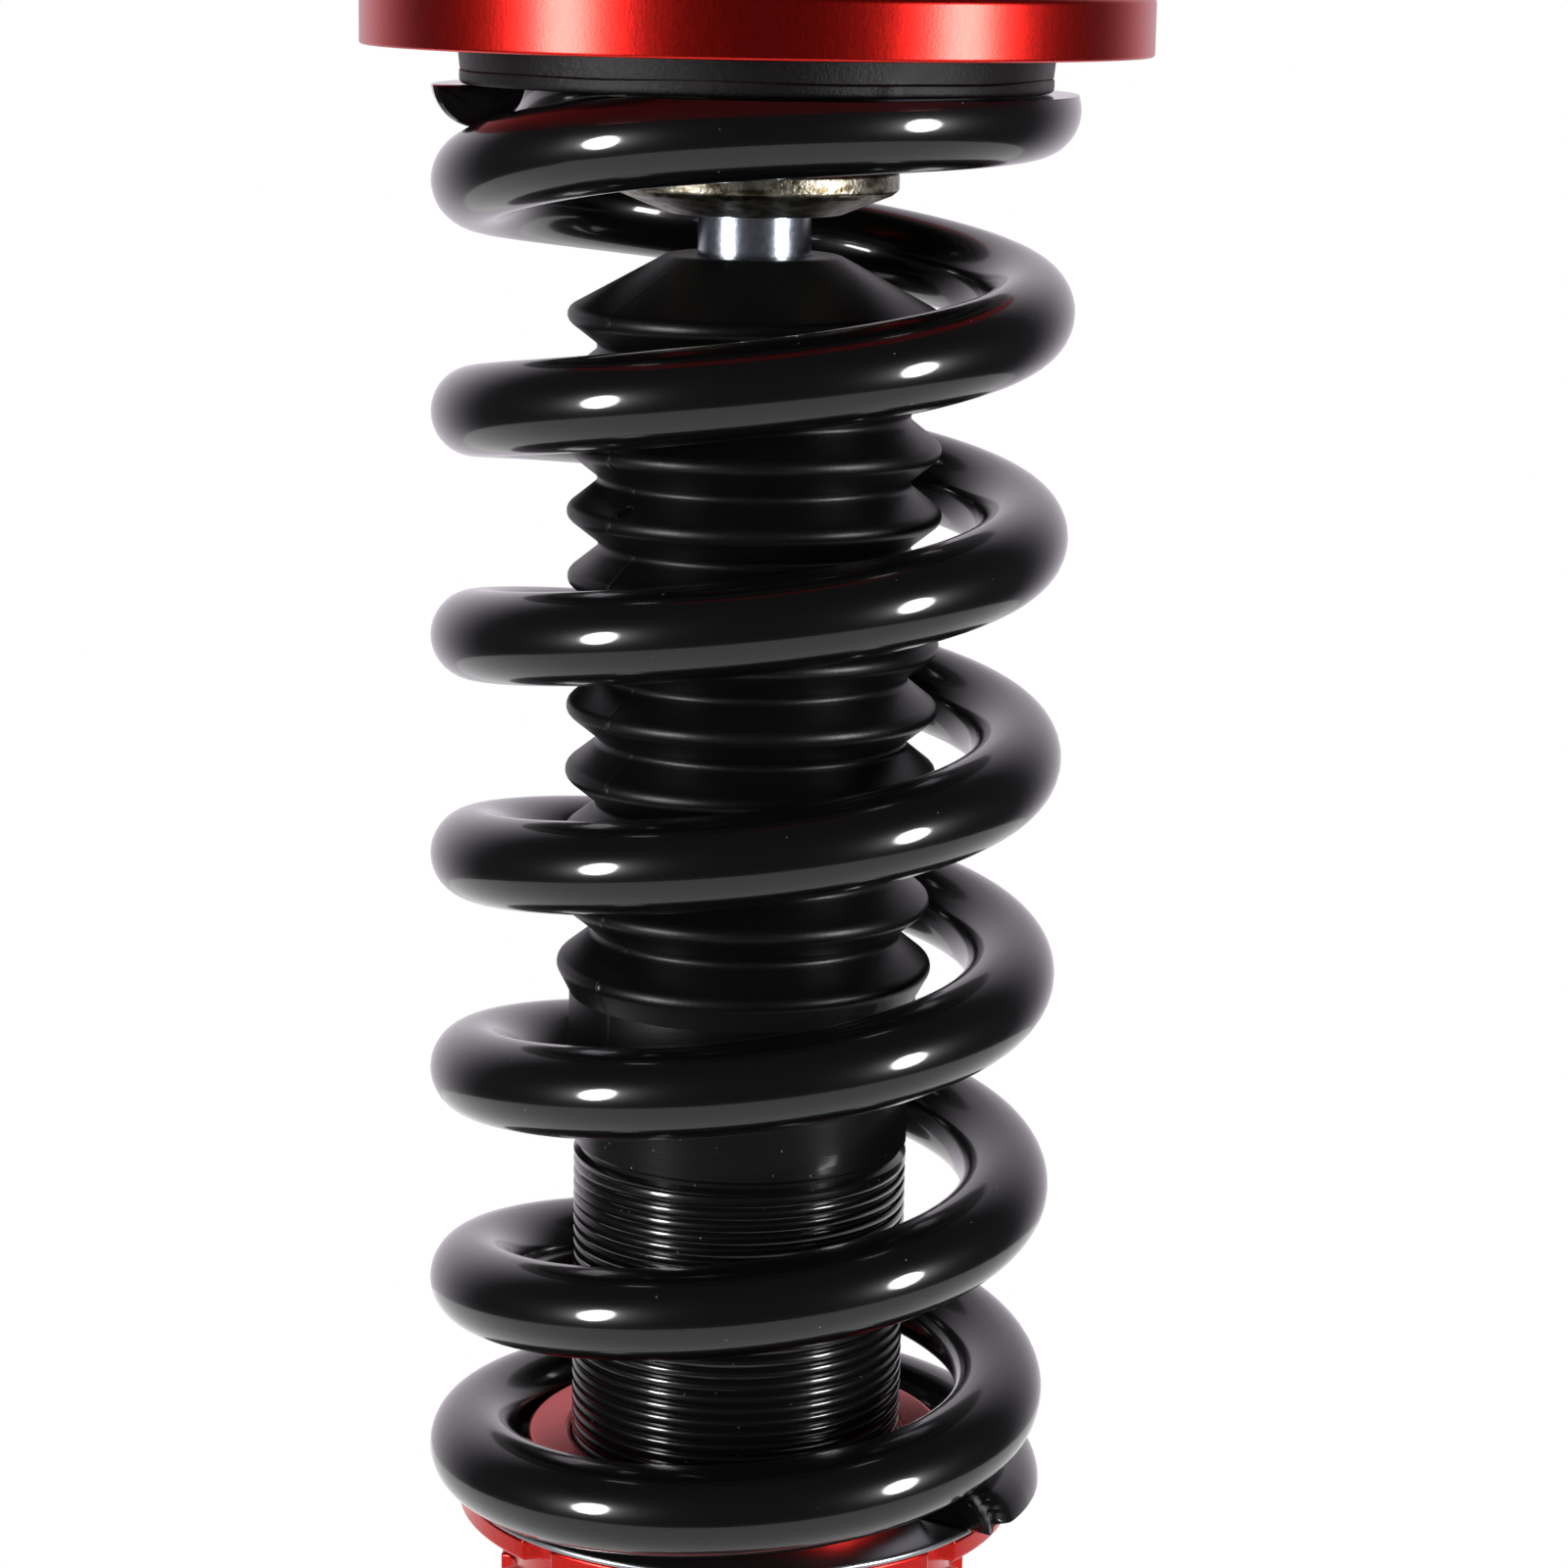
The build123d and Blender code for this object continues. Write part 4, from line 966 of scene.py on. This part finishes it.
class COILOVER_OT_mount(bpy.types.Operator):
    """Top mount: plate, studs, spring isolator and the two rubber bushes"""

    bl_idname = "coilover.add_mount"
    bl_label = "Top Mount"

    def execute(self, context):
        rim, low, hub_top = span("top_plate")
        bush, under_end, _ = span("lower_bush")
        over_end = span("upper_bush")[2]
        top, hub, spigot = low + 9, 28.0, 14.2
        corners = [
            (spigot, low), (rim, low), (rim, top), (hub, top), (hub, hub_top), (bush + 1.2, hub_top),
            (bush + 0.4, top), (spigot, top),
        ]
        outline = soften(corners, [0.3, 0.5, 1.0, 1.5, 1.0, 0.5, 0.5, 0.3])
        piece("mount_plate", [turned(outline, circle(256))], "top_plate")
        self.studs(context, top)
        self.pad()
        tube, middle, waist = span("crush_tube")[0] + FIT, low + 4.5, spigot - 0.1
        lip, cone = 12.5, 2.8  # each bush narrows to its lip over the cone's height
        for name, source, end, rise, face in (
            ("bush_under", "lower_bush", under_end, cone, low),
            ("bush_over", "upper_bush", over_end, -cone, top),
        ):
            corners = [
                (tube, end), (lip, end), (bush, end + rise), (bush, face), (waist, face), (waist, middle),
                (tube, middle),
            ]
            ring_piece(name, source, corners, [0.5, 1, 1.5, 0.4, 0.3, 0.3, 0.3])
        return {"FINISHED"}

    def pad(self):
        """Spring isolator: a ring whose lower lip is a stepped flash. A sum of sines of the angle raises the
        step and draws the lip in, and a bell curve round one angle lets a small nib stand out of it."""
        seat, low, top = span("spring_isolator")
        bore, lip_top, ledge = seat - 13.75, low + 1.5, 0.5
        nib_angle, nib_width, nib_out = radians(294), 2.2, 0.5
        corners = [
            (bore, low), (seat, low), (seat, lip_top), (seat - ledge, lip_top + 0.2), (seat - ledge, top),
            (bore, top),
        ]
        angles = circle(288)
        grid = turned(soften(corners, [0.5, 0.6, 0.3, 0.2, 0.3, 0.3]), angles)
        draw = np.random.default_rng(SEED + 2)
        wave = sum(np.sin(k * angles + draw.uniform(0, tau)) for k in (2, 3, 5, 9)) / 4
        nib = np.exp(-(((angles - nib_angle) * seat / nib_width) ** 2))
        r = np.hypot(grid[..., 0], grid[..., 1])
        lip = step((r - seat + 1.2) / 0.8) * step((lip_top + 0.7 - grid[..., 2]) / 0.5)
        grid[..., 2] += lip * (0.5 + 0.4 * wave) * step((grid[..., 2] - low) / 1.2)
        squeeze = 1 - lip * (0.25 + 0.25 * wave + nib_out * (1 - nib)) / seat
        grid[..., :2] *= squeeze[..., None]
        piece("spring_pad", [grid], "spring_isolator")

    def studs(self, context, plate_top):
        """Three pressed-in studs: wider shank inside the plate, thread above it."""
        pitch = context.scene.coilover_thread.stud_pitch / MM
        _, bottom, top = span("mount_studs")
        radius, shank, circle_radius = 5.0, 5.5, 47.0
        turns = pi / 2 + tau * np.arange(3) / 3
        threaded_piece(
            "stud_threads", "mount_studs", (radius, THREAD_DEPTH, pitch, plate_top + 1, top - 1), 36,
            [(radius, top - 1), (radius - 1, top), (0, top), (0, bottom), (shank, bottom),
             (shank, plate_top), (radius, plate_top + 0.5), (radius, plate_top + 1)],
            [(circle_radius * cos(a), circle_radius * sin(a), 0) for a in turns],
        )


class COILOVER_OT_rod(bpy.types.Operator):
    """Rod, spacer sleeve, cup washers and top nut"""

    bl_idname = "coilover.add_rod"
    bl_label = "Rod"

    def execute(self, context):
        sleeve, sleeve_low, sleeve_top = span("spacer_sleeve")
        pin = 6.05
        ring_piece("sleeve_tube", "spacer_sleeve", band(pin, sleeve, sleeve_low, sleeve_top), 0.3)
        for name, source, up in (("cup_under", "lower_cup_washer", 1), ("cup_over", "upper_cup_washer", -1)):
            rim, low, high = span(source)
            flat, sheet, height = 13.5, 2.4, 6.6
            corners = np.array(
                [(pin, 0), (flat, 0), (rim - 1, 3), (rim, 3.8), (rim, height), (20.1, height), (20.1, 5.0),
                 (12.9, sheet), (pin, sheet)]
            )
            corners[:, 1] = (low if up > 0 else high) + up * corners[:, 1]
            grid = turned(soften(corners, [0.2, 1.5, 0.8, 0.8, 0.5, 0.4, 1.0, 1.5, 0.2]), circle(160))
            piece(name, [grid], source)
        self.nut(pin)
        self.rod(context)
        return {"FINISHED"}

    def nut(self, bore):
        """Hexagon nut: near its top the radius is the lesser of the hexagon's and a 30 degree cone's."""
        _, bottom, top = span("rod_nut")
        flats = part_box("rod_nut")[1].y / MM
        angles = circle(144)
        hexagon = flats / np.cos((angles + pi / 6) % (pi / 3) - pi / 6)
        hexagon = np.minimum(hexagon, flats * 1.14)
        z = np.concatenate([[bottom, bottom, bottom + 0.4], np.linspace(top - 1.4, top, 9), [top]])
        cone = flats - 0.3 + np.minimum(top - z, z - bottom + 0.8) / np.tan(radians(30))
        r = np.minimum(hexagon, cone[:, None])
        r[[0, -1]] = bore
        piece("nut_top", [polar(r, angles, z[:, None])], "rod_nut", sharp=20)

    def rod(self, context):
        """Ground rod whose slim end carries the nut's thread."""
        pitch = context.scene.coilover_thread.stud_pitch / MM
        _, bottom, top = span("piston_rod")
        rod, tail, pin, bore, shoulder = 7.0, 5.0, 6.0, 2.6, span("spacer_sleeve")[1]
        step_up, thread_low, thread_top = bottom + 29, top - 24, top - 0.8
        threaded_piece(
            "rod_shaft", "piston_rod", (pin, THREAD_DEPTH, pitch, thread_low, thread_top), 48,
            [(pin, thread_top), (pin - 0.8, top), (bore, top), (bore, bottom), (tail, bottom),
             (tail, step_up), (rod, step_up), (rod, shoulder - 0.3), (rod - 0.3, shoulder),
             (pin, shoulder), (pin, thread_low)],
        )


class COILOVER_OT_adjuster(bpy.types.Operator):
    """Damping adjuster knob"""

    bl_idname = "coilover.add_adjuster"
    bl_label = "Adjuster"

    def execute(self, context):
        rim, bottom, top = span("adjuster_knob")
        bore = span("adjuster_needle")[0] + FIT
        corners = [(bore, bottom), (rim, bottom), (rim, top), (bore + 2.5, top), (bore, top - 0.8)]
        outline = soften(corners, [0.3, 0.6, 1.2, 0.8, 0.3])
        plan = fluted_plan(rim, depth=0.9, count=18)
        piece("knob", [plan_turned(outline, plan, rim, follow=1.3)], "adjuster_knob")
        return {"FINISHED"}


class COILOVER_OT_inner(bpy.types.Operator):
    """Finish of every frame piece that stays: pistons, seals, shims, guide and small parts"""

    bl_idname = "coilover.finish_inner"
    bl_label = "Inner Parts"

    def execute(self, context):
        for name, part in frame["nodes"].items():
            part.data.materials.clear()
            part.data.materials.append(finish_of(SLOTS[name]))
        return {"FINISHED"}


class COILOVER_OT_stage(bpy.types.Operator):
    """Pale floor, white surroundings, two soft lamps and the camera"""

    bl_idname = "coilover.add_stage"
    bl_label = "Stage"

    def execute(self, context):
        settings = context.scene.coilover_stage
        self.floor(context, settings)
        self.world(context, settings)
        self.lamps(context, settings)
        self.camera(context, settings)
        context.scene.view_settings.view_transform = "Standard"
        return {"FINISHED"}

    def floor(self, context, settings):
        """Round floor, 0.8 m in radius, at the object's foot.

        It is white to the camera far from the object, and takes the object's shadow near it."""
        disc = polar(np.array([0, 400, 800])[:, None], circle(96), CAD_BOX[0].z / MM)
        mesh = mesh_of("floor", [(disc, False, True)])
        floor = bpy.data.objects.new("floor", mesh)
        context.scene.collection.objects.link(floor)
        material, tree, shader, place = surface("matt_white_board", settings.white, roughness=0.9)
        far = node(tree, "VectorMath", {0: place}, operation="LENGTH")
        shaded, clear = 0.2, 0.5  # metres from the object
        mask = node(tree, "MapRange", limits(far.outputs["Value"], shaded, clear))
        path = node(tree, "LightPath").outputs
        seen = node(tree, "Math", {0: mask, 1: path["Is Camera Ray"]}, operation="MULTIPLY")
        for ray in ("Is Glossy Ray", "Is Transmission Ray"):
            seen = node(tree, "Math", {0: seen, 1: path[ray]}, operation="MAXIMUM")
        white = node(tree, "Emission", {"Color": (1, 1, 1, 1), "Strength": 1})
        mix = node(tree, "MixShader", {0: seen, 1: shader, 2: white})
        plug(tree, next(n for n in tree.nodes if n.type == "OUTPUT_MATERIAL"), {"Surface": mix})
        mesh.materials.append(material)

    def world(self, context, settings):
        """Even light from all round; white to the camera; in reflections white behind the object and
        dark on the camera's side, as a studio is."""
        world = bpy.data.worlds.new("studio")
        context.scene.world = world
        world.use_nodes = True
        tree = world.node_tree
        tree.nodes.clear()
        place = node(tree, "TexCoord").outputs["Generated"]
        axes = node(tree, "SeparateXYZ", {0: place})
        dark, bright = 0.06, 0.8  # mirrored strength in front of the object and behind it
        behind = limits(axes.outputs["Y"], 0.35, 0.9, dark, bright)
        back = node(tree, "MapRange", behind, interpolation_type="SMOOTHSTEP")
        path = node(tree, "LightPath").outputs
        rays = {0: path["Is Glossy Ray"], 1: path["Is Transmission Ray"]}
        mirrored = node(tree, "Math", rays, operation="MAXIMUM")
        even = node(tree, "Mix", {0: mirrored, 2: settings.sky, 3: back}, data_type="FLOAT")
        level = node(tree, "Mix", {0: path["Is Camera Ray"], 2: even, 3: 1.0}, data_type="FLOAT")
        colours = {"Color1": (1, 1, 1, 1), "Color2": (*settings.tint, 1)}
        tint = node(tree, "MixRGB", {"Fac": mirrored} | colours)
        light = node(tree, "Background", {"Color": tint, "Strength": level})
        node(tree, "OutputWorld", {"Surface": light})

    def lamps(self, context, settings):
        """Two tall oval soft lamps, one each side of the camera, aimed at the spring's middle."""
        low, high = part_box("coil_spring")
        target = (low + high) / 2
        for name, turn in (("lamp_left", -settings.lamp_left), ("lamp_right", settings.lamp_right)):
            lamp = bpy.data.lights.new(name, "AREA")
            lamp.shape, lamp.energy = "ELLIPSE", settings.lamp_watts
            lamp.size, lamp.size_y = settings.lamp_width, settings.lamp_height
            rise = settings.lamp_rise
            away = Vector((sin(turn) * cos(rise), -cos(turn) * cos(rise), sin(rise)))
            stand = bpy.data.objects.new(name, lamp)
            stand.location = target + away * settings.lamp_distance
            stand.rotation_euler = (-away).to_track_quat("-Z", "Y").to_euler()
            context.scene.collection.objects.link(stand)

    def camera(self, context, settings):
        """Camera frame: forward from pitch and yaw, then right and up leaned over by roll."""
        pitch, yaw, roll = settings.pitch, settings.yaw, settings.roll
        forward = Vector((sin(yaw) * cos(pitch), cos(yaw) * cos(pitch), -sin(pitch)))
        level = Vector((cos(yaw), -sin(yaw), 0))
        upright = level.cross(forward)
        right = cos(roll) * level + sin(roll) * upright
        up = cos(roll) * upright - sin(roll) * level
        lens = bpy.data.cameras.new("camera")
        lens.lens, lens.sensor_width, lens.clip_start = settings.lens, 36, 0.01
        camera = bpy.data.objects.new("camera", lens)
        turn = Matrix((right, up, -forward)).transposed().to_4x4()
        camera.matrix_world = Matrix.Translation(settings.stand) @ turn
        context.scene.collection.objects.link(camera)
        context.scene.camera = camera


# ---- panel and registration ----

GROUPS = {
    "coilover_spring": SpringSizes,
    "coilover_boot": BootSizes,
    "coilover_thread": ThreadSizes,
    "coilover_notches": NotchSizes,
    "coilover_finish": FinishColours,
    "coilover_stage": StageSettings,
}
OPERATORS = (
    COILOVER_OT_spring, COILOVER_OT_boot, COILOVER_OT_body, COILOVER_OT_perch, COILOVER_OT_bracket,
    COILOVER_OT_mount, COILOVER_OT_rod, COILOVER_OT_adjuster, COILOVER_OT_inner, COILOVER_OT_stage,
)


class COILOVER_PT_panel(bpy.types.Panel):
    """Sizes, colours and the steps that build the coilover"""

    bl_label = "Coilover"
    bl_idname = "COILOVER_PT_panel"
    bl_space_type = "VIEW_3D"
    bl_region_type = "UI"
    bl_category = "Coilover"

    def draw(self, context):
        for name, group in GROUPS.items():
            box = self.layout.box()
            box.label(text=group.__doc__)
            for key in group.__annotations__:
                box.prop(getattr(context.scene, name), key)
        for operator in OPERATORS:
            self.layout.operator(operator.bl_idname)


def register():
    """Registers the property groups, operators and panel."""
    for name, group in GROUPS.items():
        bpy.utils.register_class(group)
        setattr(bpy.types.Scene, name, PointerProperty(type=group))
    for item in (*OPERATORS, COILOVER_PT_panel):
        bpy.utils.register_class(item)


def unregister():
    """Takes everything back out."""
    for item in (COILOVER_PT_panel, *reversed(OPERATORS)):
        bpy.utils.unregister_class(item)
    for name, group in GROUPS.items():
        delattr(bpy.types.Scene, name)
        bpy.utils.unregister_class(group)


def main():
    register()
    for operator in OPERATORS:
        getattr(bpy.ops.coilover, operator.bl_idname.split(".")[1])()


if __name__ == "__main__":
    main()
